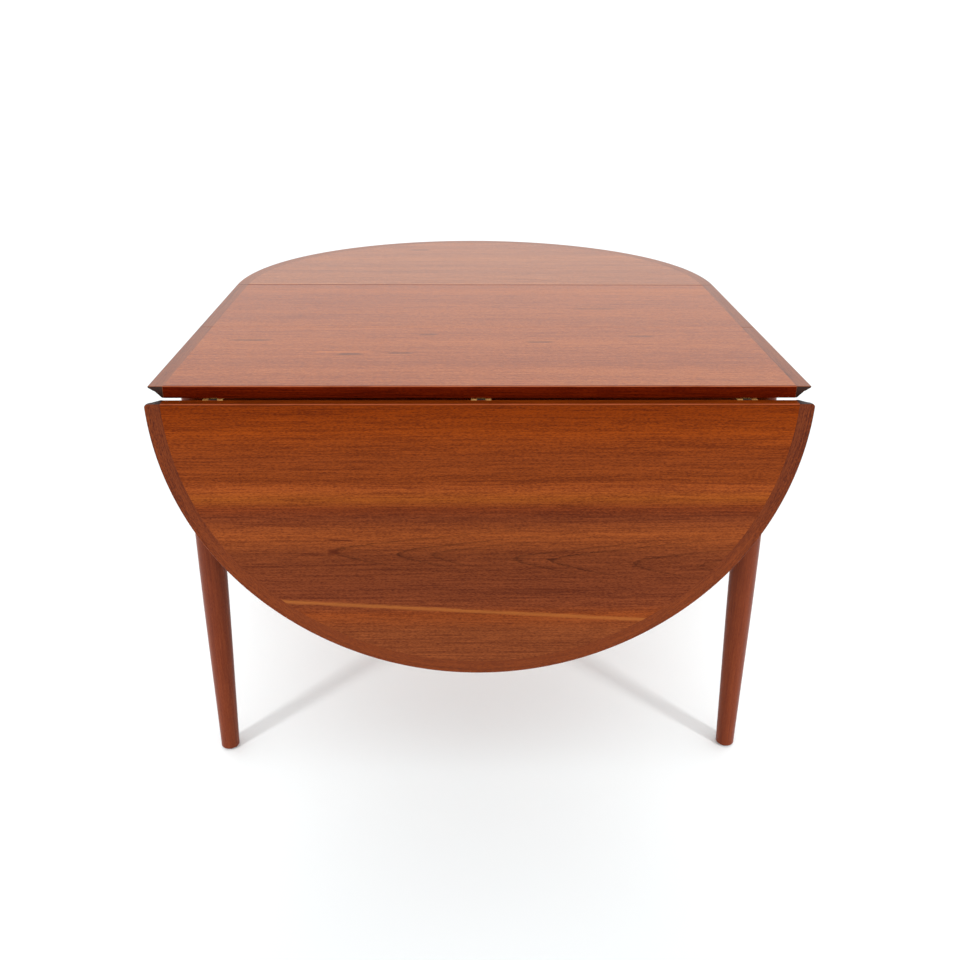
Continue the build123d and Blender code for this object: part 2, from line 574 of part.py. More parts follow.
def lock_lever():
    """The lock's lever, released: it lies to the left, along the meeting edge."""
    top = UNDERSIDE - LOCK_PLATE_THICKNESS - LOCK_LEVER_GAP
    bottom = top - LOCK_LEVER_THICKNESS
    half = LOCK_LEVER_WIDTH / 2
    reach = LOCK_POST_Y - LOCK_PIVOT_Y
    end = reach + LOCK_POST_RADIUS + LOCK_LEVER_END
    knob_at = end + LOCK_LEVER_END
    lever = block(-half, half, 0, end, bottom, top)
    lever += Pos(0, 0, (top + bottom) / 2) * Cylinder(half, LOCK_LEVER_THICKNESS)
    lever += rod((0, knob_at, bottom), (0, knob_at, top), half)
    lever += rod((0, knob_at, bottom - LOCK_KNOB_HEIGHT), (0, knob_at, bottom), 0.75 * half)
    lever -= rod((0, 0, bottom - 1), (0, 0, top + 1), LOCK_POST_RADIUS + LOCK_STUD_FIT)
    notch = LOCK_POST_RADIUS + LOCK_PLAY
    lever -= rod((0, reach, bottom - 1), (0, reach, top + 1), notch)
    lever -= block(0, half + 1, reach - notch - LOCK_PLAY, reach + notch, bottom - 1, top + 1)
    return Pos(0, LOCK_PIVOT_Y, 0) * lever.rotate(Axis.Z, 90)


# ---------------------------------------------------------------- the whole table
def wooden_nodes(end):
    """The fixed boards, rails and legs of one half, and its runners and stays."""
    nodes = {
        f"{end}_top_panel": top_panel(end),
        f"{end}_top_lipping": on_end(top_lipping(), end),
        f"{end}_apron": on_end(apron(), end),
    }
    swing = STAY_HANGING if end == "front" else STAY_RAISED
    sided = {"end_strip": end_strip(), "leg": leg(), "side_rail": side_rail(), "stay": stay(swing)}
    for side in SIDES:
        for name, piece in sided.items():
            nodes[f"{end}_{side}_{name}"] = on_end(on_side(piece, side), end)
        nodes[f"{side}_runner_{end}"] = on_side(runner(end), side)
    return nodes


def paired_nodes(end):
    """The small pieces that one half has on both sides, one node for each kind."""
    pieces = {
        "foot_glides": glide(), "corner_blocks": corner_block(),
        "leg_bolts": leg_bolt(), "stay_brackets": stay_bracket(),
    }
    return {
        f"{end}_{name}": [on_end(on_side(piece, side), end) for side in SIDES]
        for name, piece in pieces.items()
    }


def leaf_nodes(end):
    """A leaf with everything screwed to it, and the hinges that carry it."""
    track_screws = [
        on_side(screw(point, (0, 0, 1), SCREW_LENGTH), side)
        for side in SIDES for point in stay_track_screws()
    ]
    return {
        f"{end}_leaf_panel": on_leaf(leaf_panel(), end),
        f"{end}_leaf_lipping": on_leaf(leaf_lipping(), end),
        f"{end}_leaf_band": on_leaf(leaf_band(), end),
        f"{end}_hinge_top_plates": [on_end(plate, end) for plate in hinge_plates(-1)],
        f"{end}_hinge_leaf_plates": [on_leaf(plate, end) for plate in hinge_plates(1)],
        f"{end}_hinge_pins": [on_end(pin, end) for pin in hinge_pins()],
        f"{end}_stay_tracks": [on_leaf(on_side(stay_track(), side), end) for side in SIDES],
        f"{end}_leaf_screws": [on_leaf(one, end) for one in hinge_screws(1) + track_screws],
    }


def end_screws(end):
    """Every screw driven into one half and its rails."""
    bracket_screws = [
        on_side(screw(point, (0, -1, 0), SCREW_LENGTH), side)
        for side in SIDES for point in stay_bracket_screws()
    ]
    lock_fixings = [screw(point, (0, 0, 1), SCREW_LENGTH) for point in lock_screws(end)]
    return lock_fixings + [on_end(one, end) for one in hinge_screws(-1) + runner_screws(end) + bracket_screws]


def build():
    """Every node of the table: name to solid or list of solids."""
    nodes = {f"{side}_runner_middle": on_side(runner_middle(), side) for side in SIDES}
    for end in ENDS:
        nodes |= wooden_nodes(end) | paired_nodes(end) | leaf_nodes(end)
        nodes[f"{end}_end_screws"] = end_screws(end)
    nodes |= {
        "meeting_dowels": dowels(), "lock_plate": lock_plate(),
        "lock_keeper": lock_keeper(), "lock_lever": lock_lever(),
    }
    return nodes


os.makedirs("parts", exist_ok=True)
for name, shape in build().items():
    solids = shape if isinstance(shape, list) else [shape]
    export_step(Compound(children=[one for piece in solids for one in piece.solids()]), f"parts/{name}.step")

print(f"stay swing: {STAY_HANGING:.3f} hanging, {STAY_RAISED:.3f} raised, "
      f"ratio {(STAY_RAISED - STAY_HANGING) / 90:.6f}")
print(f"hinge axis: y {HINGE_Y:.2f}, z {HINGE_Z:.2f}")
print("stay pivot: y {:.2f}, z {:.2f}".format(*stay_pivot()))
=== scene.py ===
"""A draw-apart dining table in teak with a D-shaped drop leaf at each end, dressed for a plain studio."""
import logging
import math
from dataclasses import dataclass, field
from enum import Enum
from typing import Any, Callable, Iterable, Optional, Union

import bmesh
import bpy
from mathutils import Matrix, Vector


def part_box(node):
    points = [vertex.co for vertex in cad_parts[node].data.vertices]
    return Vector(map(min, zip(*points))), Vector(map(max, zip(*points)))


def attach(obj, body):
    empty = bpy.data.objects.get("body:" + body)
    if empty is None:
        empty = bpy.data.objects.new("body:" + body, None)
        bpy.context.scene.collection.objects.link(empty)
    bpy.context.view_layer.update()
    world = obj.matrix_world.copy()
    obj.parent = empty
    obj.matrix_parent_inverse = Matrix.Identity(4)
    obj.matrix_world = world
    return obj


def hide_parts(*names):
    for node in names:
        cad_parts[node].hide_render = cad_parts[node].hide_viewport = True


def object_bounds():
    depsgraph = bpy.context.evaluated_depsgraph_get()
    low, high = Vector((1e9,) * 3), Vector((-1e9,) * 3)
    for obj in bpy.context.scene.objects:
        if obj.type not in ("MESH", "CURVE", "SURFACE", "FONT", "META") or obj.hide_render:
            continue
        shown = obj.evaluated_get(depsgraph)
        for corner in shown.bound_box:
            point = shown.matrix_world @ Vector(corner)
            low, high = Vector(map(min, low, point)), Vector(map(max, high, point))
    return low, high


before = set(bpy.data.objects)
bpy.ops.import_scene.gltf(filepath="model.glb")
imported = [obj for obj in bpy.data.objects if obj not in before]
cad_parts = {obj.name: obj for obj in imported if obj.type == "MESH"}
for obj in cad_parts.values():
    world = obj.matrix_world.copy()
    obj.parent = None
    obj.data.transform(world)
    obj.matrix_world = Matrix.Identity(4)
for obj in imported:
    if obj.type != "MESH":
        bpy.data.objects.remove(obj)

LOG = logging.getLogger("table")
CAD_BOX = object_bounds()

Colour = tuple[float, float, float]
Point = tuple[float, float, float]
ENDS = ("front", "rear")
SIDES = ("left", "right")
MM = 0.001
# how far a leaf reaches from its hinge edge, and where the leaves' hinge pins run
LEAF_REACH = 490.0 * MM
PIN_Y, PIN_Z = 338.9 * MM, 701.4 * MM
# points of a CAD mesh that are closer than this are one
WELD = 0.003 * MM


# ------------------------------------------------------------------ shader tools
class Wire:
    """One output of a recipe's nodes. Arithmetic on it adds Math nodes."""

    def __init__(self, recipe: "Recipe", socket: bpy.types.NodeSocket) -> None:
        """Keeps the recipe and the socket."""
        self.recipe = recipe
        self.socket = socket

    def _math(self, operation: str, first: "Value", second: "Value") -> "Wire":
        """Adds one Math node.

        Args:
            operation: the node's operation.
            first: its first value.
            second: its second value.

        Returns:
            The node's output.
        """
        return self.recipe.node("ShaderNodeMath", {"operation": operation}, {0: first, 1: second})

    def __add__(self, other: "Value") -> "Wire":
        """Sum."""
        return self._math("ADD", self, other)

    __radd__ = __add__

    def __sub__(self, other: "Value") -> "Wire":
        """Difference."""
        return self._math("SUBTRACT", self, other)

    def __rsub__(self, other: "Value") -> "Wire":
        """Difference the other way round."""
        return self._math("SUBTRACT", other, self)

    def __mul__(self, other: "Value") -> "Wire":
        """Product."""
        return self._math("MULTIPLY", self, other)

    __rmul__ = __mul__

    def __truediv__(self, other: "Value") -> "Wire":
        """Quotient."""
        return self._math("DIVIDE", self, other)

    def __rtruediv__(self, other: "Value") -> "Wire":
        """Quotient the other way round."""
        return self._math("DIVIDE", other, self)

    def __pow__(self, other: "Value") -> "Wire":
        """Power."""
        return self._math("POWER", self, other)

    def __rpow__(self, other: "Value") -> "Wire":
        """Power the other way round."""
        return self._math("POWER", other, self)

    def __neg__(self) -> "Wire":
        """The value with its sign turned."""
        return 0.0 - self

    def __abs__(self) -> "Wire":
        """Size without sign."""
        return self._math("ABSOLUTE", self, 0.0)

    def step(self, low: float, high: float, start: float = 0.0, end: float = 1.0) -> "Wire":
        """A smooth step.

        Args:
            low: value at which the step starts.
            high: value at which it ends.
            start: what it gives up to low.
            end: what it gives from high on.

        Returns:
            The stepped value.
        """
        return self.recipe.node(
            "ShaderNodeMapRange",
            {"interpolation_type": "SMOOTHSTEP"},
            {"Value": self, "From Min": low, "From Max": high, "To Min": start, "To Max": end},
        )

    def fade(self, low: float, high: float) -> "Wire":
        """A smooth step down: 1 up to low and 0 from high on."""
        return self.step(low, high, 1.0, 0.0)


Value = Union[Wire, float]


class Recipe:
    """A material in the making: its nodes, its links and its one shader."""

    # cosines of the angle to a direction at which a surface starts to face it, and faces it fully
    FACING = (0.8, 0.95)

    def __init__(self, name: str) -> None:
        """Starts an empty material.

        Args:
            name: the material's name.
        """
        self.material = bpy.data.materials.new(name)
        self.material.use_nodes = True
        self.tree = self.material.node_tree
        self.tree.nodes.clear()

    def node(
        self,
        kind: str,
        settings: Optional[dict[str, Any]] = None,
        inputs: Optional[dict[Union[int, str], Any]] = None,
        output: Union[int, str] = 0,
    ) -> Wire:
        """Adds one node.

        Args:
            kind: the node's type.
            settings: its properties, set first; "stops" are a colour ramp's (place, colour) pairs.
            inputs: a value or a wire for each socket named.
            output: which output is wanted.

        Returns:
            That output, or that input of a node with no outputs.
        """
        made = self.tree.nodes.new(kind)
        for name, value in (settings or {}).items():
            if name == "stops":
                ramp = made.color_ramp.elements
                while len(ramp) < len(value):
                    ramp.new(1.0)
                for element, (place, colour) in zip(ramp, value):
                    element.position = place
                    element.color = (*colour, 1.0)
            else:
                setattr(made, name, value)
        for name, value in (inputs or {}).items():
            if isinstance(value, Wire):
                self.tree.links.new(value.socket, made.inputs[name])
            else:
                made.inputs[name].default_value = value
        return Wire(self, (made.outputs or made.inputs)[output])

    def vector(self, x: Value, y: Value, z: Value) -> Wire:
        """Three numbers as one vector."""
        return self.node("ShaderNodeCombineXYZ", None, {0: x, 1: y, 2: z})

    def noise(self, place: tuple[Value, Value, Value], detail: float = 2.0, rough: float = 0.5) -> Wire:
        """Soft noise from 0 to 1.

        Args:
            place: where it is read, already scaled.
            detail: how many finer layers it has.
            rough: how strong the finer layers are.

        Returns:
            The noise.
        """
        return self.node(
            "ShaderNodeTexNoise",
            {"noise_dimensions": "3D"},
            {"Vector": self.vector(*place), "Scale": 1.0, "Detail": detail, "Roughness": rough},
        )

    def coordinates(self, kind: str = "Object") -> Wire:
        """Where each point of the surface is, or which way it faces if kind is Normal."""
        return self.node("ShaderNodeTexCoord", None, None, kind)

    def parts(self, place: Wire) -> tuple[Wire, Wire, Wire]:
        """A vector's three numbers."""
        outputs = self.node("ShaderNodeSeparateXYZ", None, {0: place}).socket.node.outputs
        return tuple(Wire(self, output) for output in outputs)

    def dot(self, place: Wire, way: Point) -> Wire:
        """How far a vector reaches in a direction."""
        return self.node("ShaderNodeVectorMath", {"operation": "DOT_PRODUCT"}, {0: place, 1: way}, "Value")

    def facing(self, way: Point) -> Wire:
        """1 where the piece's own surface faces a direction, 0 elsewhere."""
        return self.dot(self.coordinates("Normal"), way).step(*self.FACING)

    def attribute(self, name: str, output: str) -> Wire:
        """A value that a piece's mesh carries, 0 if it has none."""
        return self.node("ShaderNodeAttribute", {"attribute_name": name}, None, output)

    def ramp(self, factor: Wire, *stops: tuple[float, Colour]) -> Wire:
        """Colours along a factor."""
        return self.node("ShaderNodeValToRGB", {"stops": stops}, {0: factor})

    def mix(self, factor: Value, first: Any, second: Any, blend: str = "MIX") -> Wire:
        """Mixes two colours.

        Args:
            factor: share of the second colour.
            first: colour or wire.
            second: colour or wire.
            blend: the node's blend type.

        Returns:
            The mixed colour.
        """
        first, second = ((*c, 1.0) if isinstance(c, tuple) else c for c in (first, second))
        return self.node(
            "ShaderNodeMix", {"data_type": "RGBA", "blend_type": blend}, {0: factor, 6: first, 7: second}, 2
        )

    def finish(
        self, height: Optional[Wire] = None, depth: float = 0.2 * MM, **sockets: Any
    ) -> bpy.types.Material:
        """Joins everything to one shader.

        Args:
            height: relief from 0 to 1, if the surface has any.
            depth: what a relief of 1 measures, in metres.
            sockets: the shader's sockets, with _ for each space.

        Returns:
            The finished material.
        """
        inputs = {name.replace("_", " "): value for name, value in sockets.items()}
        if height is not None:
            relief = {"Strength": 1.0, "Distance": depth, "Height": height}
            inputs["Normal"] = self.node("ShaderNodeBump", None, relief)
        shader = self.node("ShaderNodeBsdfPrincipled", None, inputs)
        self.node("ShaderNodeOutputMaterial", None, {"Surface": shader})
        return self.material


# ------------------------------------------------------------------ finishes
@dataclass(frozen=True)
class Grain:
    """Which way a board's grain runs.

    along is the direction of the grain and across the direction over the board's face;
    origin is where both are counted from. A swept piece carries its own coordinates instead.
    """

    along: Point = (1.0, 0.0, 0.0)
    across: Point = (0.0, 1.0, 0.0)
    origin: Point = (0.0, 0.0, 0.0)
    swept: bool = False

    def wires(self, recipe: Recipe) -> tuple[Wire, Wire, Wire]:
        """Reads a board's coordinates.

        Args:
            recipe: the material.

        Returns:
            Metres along the grain, across the face and into the board.
        """
        if self.swept:
            return recipe.parts(recipe.attribute("grain", "Vector"))
        place = recipe.coordinates()
        place = recipe.node("ShaderNodeVectorMath", {"operation": "SUBTRACT"}, {0: place, 1: self.origin})
        depth = tuple(Vector(self.along).cross(Vector(self.across)))
        return tuple(recipe.dot(place, way) for way in (self.along, self.across, depth))


@dataclass(frozen=True)
class Layer:
    """One layer of a wood's figure: soft noise drawn out along the grain.

    along and across are how many of its marks fill a metre, and weight is its share of the whole.
    detail and rough are its finer marks, and seeded is how much of a board's seed moves each coordinate.
    """

    along: float
    across: float
    weight: float = 1.0
    detail: float = 2.0
    rough: float = 0.6
    seeded: Point = (1.0, 0.0, 0.0)

    def read(self, recipe: Recipe, place: tuple[Wire, Wire, Wire], seed: float) -> Wire:
        """Reads the layer.

        Args:
            recipe: the material.
            place: metres along the grain, across the face and into the board.
            seed: the board's seed.

        Returns:
            Its noise from 0 to 1.
        """
        rows = zip(place, (self.along, self.across, self.across), self.seeded)
        moved = tuple(wire * scale + seed * share for wire, scale, share in rows)
        return recipe.noise(moved, self.detail, self.rough)


class Figure(Enum):
    """How a veneer was cut."""

    STRAIGHT = "quarter cut, straight stripes"
    FLAME = "crown cut, nested flames on straight stripes"
    BANDED = "bent edge, darker towards the field and lighter at the curve's crown"


@dataclass(frozen=True)
class Mark:
    """A mineral streak or a darker fleck at one place in a veneer.

    along and across are its place, length and width its size, and slope how far it climbs across
    the board for each metre along it.
    """

    along: float
    across: float
    length: float
    width: float
    colour: Colour
    strength: float = 0.7
    slope: float = 0.0

    # shares of the length and the width: how far the outline wavers, and where it starts and stops fading
    WAVER = (0.3, 0.8)
    LENGTH_FADE = (0.25, 0.5)
    WIDTH_FADE = (0.15, 0.6)

    def lay(self, recipe: Recipe, a: Wire, c: Wire, waver: Wire, below: Wire) -> Wire:
        """Lays the mark over a colour.

        Args:
            recipe: the material.
            a: along the grain.
            c: across the face.
            waver: soft noise about 0 that breaks up its outline.
            below: the colour so far.

        Returns:
            The colour with the mark.
        """
        run = abs(a - self.along + waver * (self.WAVER[0] * self.length))
        off = abs(c - self.across - (a - self.along) * self.slope + waver * (self.WAVER[1] * self.width))
        lengthwise = run.fade(*(share * self.length for share in self.LENGTH_FADE))
        crosswise = off.fade(*(share * self.width for share in self.WIDTH_FADE))
        return recipe.mix(lengthwise * crosswise * self.strength, below, self.colour)


@dataclass(frozen=True)
class Teak:
    """Teak under a satin lacquer.

    light, middle and dark are its colours, and tones what they are multiplied by from place to place
    across the board. dashes is the strength of the short flecks, bands that of the broad stripes and
    breadth their width. The arris colour is painted on the rounded arrises: partly rubbed, lighter wood
    and partly a painted highlight. sawn gives the directions in which end grain shows.
    """

    name: str
    grain: Grain
    light: Colour
    middle: Colour
    dark: Colour
    figure: Figure = Figure.STRAIGHT
    seed: float = 0.0
    contrast: float = 1.0
    dashes: float = 1.0
    bands: float = 0.85
    breadth: float = 0.03
    roughness: float = 0.3
    index: float = 1.3
    tones: tuple[tuple[float, Colour], ...] = ()
    marks: tuple[Mark, ...] = ()
    # colour for the rounded arrises: rubbed, lighter wood and a painted highlight together
    worn: Optional[Colour] = None
    sawn: tuple[Point, ...] = ()

    # the layers of its figure from the widest to the finest, with the drift's weight in metres, then the
    # pith that end grain shows
    DRIFT = Layer(1.3, 3.5, 0.016, rough=0.5)
    BAND_RUN = 0.45
    STRIPES = Layer(5.0, 210.0, 0.75, 3.0, 0.65, (0.0, 1.0, 0.0))
    STREAKS = Layer(24.0, 560.0, 0.7)
    LINES = Layer(9.0, 950.0, 1.1, seeded=(1.0, 0.0, 1.0))
    DASHES = Layer(190.0, 1300.0, 1.5)
    FIBRES = Layer(110.0, 2300.0, 0.35, 1.0, 0.5, (0.0, 1.0, 0.0))
    PITH = Layer(700.0, 700.0, rough=0.5, seeded=(0.0, 0.0, 1.0))
    # tones at which the dark, middle and light colours stand
    STOPS = (0.08, 0.5, 0.92)
    # what the dark colour is multiplied by in pores and flames, and the same for end grain's two tones
    DEEP = 0.42
    SAWN = (0.1, 0.35)
    RELIEF = 0.12 * MM

    # where the flame lines cross their axis and how dark each is, then how its darkness runs across it
    FLAMES = (-0.237, -0.133, -0.074, 0.056, 0.117, 0.248, 0.36)
    DEPTHS = (1.0, 0.9, 0.6, 0.85, 1.0, 0.8, 0.7)
    ACROSS_LINE = ((-0.0035, 0.0), (0.0, 1.0), (0.004, 0.4), (0.02, 0.0))
    # their axis's slope and place across the face, how much narrower than long they are, and their tips
    AXIS_SLOPE, AXIS_PLACE = 0.048, 0.265
    NARROWING, TIP = 6.5, 0.01

    def flames(self, recipe: Recipe, a: Wire, c: Wire) -> Wire:
        """Nested flame lines that open to the right, stronger above their axis than below.

        Args:
            recipe: the material.
            a: along the grain.
            c: across the face.

        Returns:
            How dark the lines are.
        """
        waver = recipe.noise((a * 9.0, c * 26.0, 0.3), 3.0, 0.6) - 0.5
        ragged = recipe.noise((a * 70.0, c * 300.0, 4.1), 3.0, 0.65) - 0.5
        off_axis = c - (a * self.AXIS_SLOPE + self.AXIS_PLACE) + waver * 0.008
        spread = (off_axis * off_axis + self.TIP**2) ** 0.5 - self.TIP
        middle = 0.5
        rings = a - spread * self.NARROWING + waver * 0.025 + ragged * 0.026 + middle
        stops = [(0.0, 0.0)]
        for flame, depth in zip(self.FLAMES, self.DEPTHS):
            stops += [(middle + flame + off, depth * share) for off, share in self.ACROSS_LINE]
        ramp = recipe.ramp(rings, *((place, (depth,) * 3) for place, depth in stops))
        lines = recipe.node("ShaderNodeSeparateColor", None, {0: ramp})
        above = (-off_axis).fade(0.014, 0.075)
        below = off_axis.fade(0.008, 0.032)
        broken = recipe.noise((a * 22.0, c * 420.0, 7.7), 2.0, 0.6).step(0.3, 0.55, 0.5, 1.0)
        return lines * above * below * broken

    def make(self) -> bpy.types.Material:
        """Builds the material.

        Returns:
            The material.
        """
        r = Recipe(self.name)
        a, c, d = place = self.grain.wires(r)
        drift = self.DRIFT.read(r, place, self.seed) - 0.5
        swung = (a, c + drift * self.DRIFT.weight, d)
        band_layer = Layer(self.BAND_RUN, 1.0 / self.breadth, detail=3.0, seeded=(1.0, 0.0, 1.0))
        bands, stripes, streaks, lines, dashes = (
            layer.read(r, swung, self.seed)
            for layer in (band_layer, self.STRIPES, self.STREAKS, self.LINES, self.DASHES)
        )
        fibres = self.FIBRES.read(r, place, self.seed)
        tone = (
            (bands - 0.5) * (self.bands * self.contrast)
            + (stripes - 0.5) * (self.STRIPES.weight * self.contrast)
            + (streaks - 0.5) * (self.STREAKS.weight * self.contrast)
            + (lines - 0.5) * (self.LINES.weight * self.contrast)
            + (dashes - 0.5) * (self.DASHES.weight * self.contrast * self.dashes)
            + (fibres - 0.5) * self.FIBRES.weight
            + 0.5
        )
        colour = r.ramp(tone, *zip(self.STOPS, (self.dark, self.middle, self.light)))
        pores = dashes.step(0.56, 0.7) * fibres.step(0.4, 0.6)
        dark_lines = stripes.step(0.6, 0.74) * streaks.step(0.42, 0.6)
        deep = tuple(v * self.DEEP for v in self.dark)
        colour = r.mix(pores * 0.45, colour, deep)
        colour = r.mix(dark_lines * (0.6 * self.contrast), colour, self.dark)
        if self.figure is Figure.FLAME:
            colour = r.mix(self.flames(r, a, c), colour, deep)
        if self.figure is Figure.BANDED:
            crown = abs(a).fade(0.3, 0.7)
            inner = (c + (stripes - 0.5) * 0.008).step(0.004, 0.02)
            colour = r.mix(inner * bands * (0.55 - crown * 0.3), colour, self.dark)
            colour = r.mix(crown * 0.3, colour, self.light)
        if self.tones:
            colour = r.mix(1.0, colour, r.ramp(c / LEAF_REACH, *self.tones), "MULTIPLY")
        for mark in self.marks:
            colour = mark.lay(r, a, c, streaks - 0.5, colour)
        for way in self.sawn:
            pith = self.PITH.read(r, place, self.seed).step(0.35, 0.65)
            end_grain = r.mix(pith, *(tuple(v * share for v in self.dark) for share in self.SAWN))
            colour = r.mix(r.facing(way), colour, end_grain)
        # painted highlight and rubbed wood on the rounded arrises
        if self.worn:
            wear_and_highlight = r.attribute("worn", "Fac") * streaks.step(0.3, 0.6, 0.55, 1.0)
            colour = r.mix(wear_and_highlight, colour, self.worn)
        rough = self.roughness + pores * 0.2 + (bands - 0.5) * 0.08
        height = dashes * 0.25 + fibres * 0.25 + stripes * 0.2 - pores * 0.6
        return r.finish(height, self.RELIEF, Base_Color=colour, Roughness=rough, IOR=self.index)


@dataclass(frozen=True)
class Beech:
    """Plain beech with short darker flecks, unfinished."""

    name: str
    grain: Grain
    light: Colour = (0.5, 0.33, 0.18)
    dark: Colour = (0.34, 0.2, 0.095)
    fleck: Colour = (0.2, 0.1, 0.045)
    index: float = 1.3

    BANDS = Layer(2.0, 60.0, 1.0, 3.0, 0.5)
    FLECKS = Layer(160.0, 900.0, 0.45, 1.0, 0.5)

    def make(self) -> bpy.types.Material:
        """Builds the material.

        Returns:
            The material.
        """
        r = Recipe(self.name)
        place = self.grain.wires(r)
        bands = self.BANDS.read(r, place, 0.0)
        flecks = self.FLECKS.read(r, place, 0.0).step(0.6, 0.7)
        colour = r.ramp(bands, (0.3, self.dark), (0.7, self.light))
        colour = r.mix(flecks * self.FLECKS.weight, colour, self.fleck)
        rough = bands * 0.1 + 0.55
        return r.finish(bands - flecks * 0.3, Base_Color=colour, Roughness=rough, IOR=self.index)


@dataclass(frozen=True)
class Metal:
    """Bare or plated metal, handled for years: clean where it rubs, dull in patches.

    The last field is the strength of painted shade on the knuckles round a leaf's hinge pin.
    """

    name: str
    bright: Colour
    dull: Colour
    roughness: float
    knuckle_shade: float = 0.0

    # how far from the pin's axis the painted shade starts and stops thinning out, and its colour
    SHADED_RADII = (4.6 * MM, 6.2 * MM)
    SHADE_COLOUR = (0.012, 0.006, 0.004)

    def make(self) -> bpy.types.Material:
        """Builds the material.

        Returns:
            The material.
        """
        r = Recipe(self.name)
        x, y, z = r.parts(r.coordinates())
        patches = r.noise((x * 90.0, y * 90.0, z * 90.0), 4.0, 0.6)
        scratches = r.noise((x * 300.0, y * 4000.0, z * 4000.0), 1.0)
        spots = r.noise((x * 700.0, y * 700.0, z * 700.0), 1.0).step(0.66, 0.72)
        worn = patches.step(0.38, 0.62)
        colour = r.mix(worn, self.dull, self.bright)
        colour = r.mix(spots * 0.5, colour, tuple(v * 0.4 for v in self.dull))
        rough = self.roughness + (1.0 - worn) * 0.16 + (scratches - 0.5) * 0.1
        metallic: Value = 1.0
        # painted shade: near the hinge pin the knuckles turn dark, rough and hardly metallic
        if self.knuckle_shade:
            off_y, off_z = abs(y) - PIN_Y, z - PIN_Z
            near, far = self.SHADED_RADII
            pin_shade = (off_y * off_y + off_z * off_z).step(near**2, far**2, self.knuckle_shade, 0.0)
            pin_shade = pin_shade * patches.step(0.25, 0.5, 0.7, 1.0)
            colour = r.mix(pin_shade, colour, self.SHADE_COLOUR)
            rough = rough + pin_shade * 0.35
            metallic = 1.0 - pin_shade * 0.8
        relief = scratches * 0.5 + spots
        return r.finish(relief, 0.03 * MM, Base_Color=colour, Roughness=rough, Metallic=metallic)


@dataclass(frozen=True)
class Nylon:
    """Scuffed moulded nylon."""

    name: str
    colour: Colour

    def make(self) -> bpy.types.Material:
        """Builds the material.

        Returns:
            The material.
        """
        r = Recipe(self.name)
        x, y, z = r.parts(r.coordinates())
        scuffs = r.noise((x * 260.0, y * 900.0, z * 260.0), 3.0)
        colour = r.mix(scuffs.step(0.45, 0.7), self.colour, tuple(v * 0.6 for v in self.colour))
        return r.finish(scuffs, 0.1 * MM, Base_Color=colour, Roughness=scuffs * 0.3 + 0.4)


# ------------------------------------------------------------------ mesh tools
def add_piece(name: str, mesh: bpy.types.Mesh, body: str, nodes: Iterable[str],
              finish: bpy.types.Material) -> bpy.types.Object:
    """Puts a finished mesh in the scene in place of CAD nodes.

    Args:
        name: the piece's name.
        mesh: its mesh, in the frame's own coordinates.
        body: the body it rides on.
        nodes: the CAD nodes it stands for.
        finish: its material.

    Returns:
        The new object.
    """
    mesh.materials.clear()
    mesh.materials.append(finish)
    piece = bpy.data.objects.new(name, mesh)
    bpy.context.scene.collection.objects.link(piece)
    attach(piece, body)
    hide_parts(*nodes)
    LOG.info("%s: %d faces, on %s", name, len(mesh.polygons), body)
    return piece


def shade(piece: bpy.types.Object, angle: float = 38.0) -> None:
    """Smooth shading, with normals ruled by the widest faces.

    Args:
        piece: what is shaded.
        angle: edges that turn by more degrees than this stay sharp.
    """
    mesh = piece.data
    for polygon in mesh.polygons:
        polygon.use_smooth = True
    mesh.set_sharp_from_angle(angle=math.radians(angle))
    modifier = piece.modifiers.new("even_normals", "WEIGHTED_NORMAL")
    modifier.keep_sharp = True


def dress(node: str, finish: bpy.types.Material) -> None:
    """Gives a CAD node a finish and leaves its shape alone.

    Args:
        node: the CAD node.
        finish: its material.
    """
    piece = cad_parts[node]
    for slot in piece.material_slots:
        slot.material = finish
    LOG.info("%s: dressed in %s", node, finish.name)


def new_mesh(name: str, work: bmesh.types.BMesh) -> bpy.types.Mesh:
    """Turns a bmesh into a mesh with faces that look outwards.

    Args:
        name: the mesh's name.
        work: the bmesh, which is used up.

    Returns:
        The mesh.
    """
    bmesh.ops.recalc_face_normals(work, faces=work.faces)
    mesh = bpy.data.meshes.new(name)
    work.to_mesh(mesh)
    work.free()
    if "custom_normal" in mesh.attributes:
        mesh.attributes.remove(mesh.attributes["custom_normal"])
    return mesh


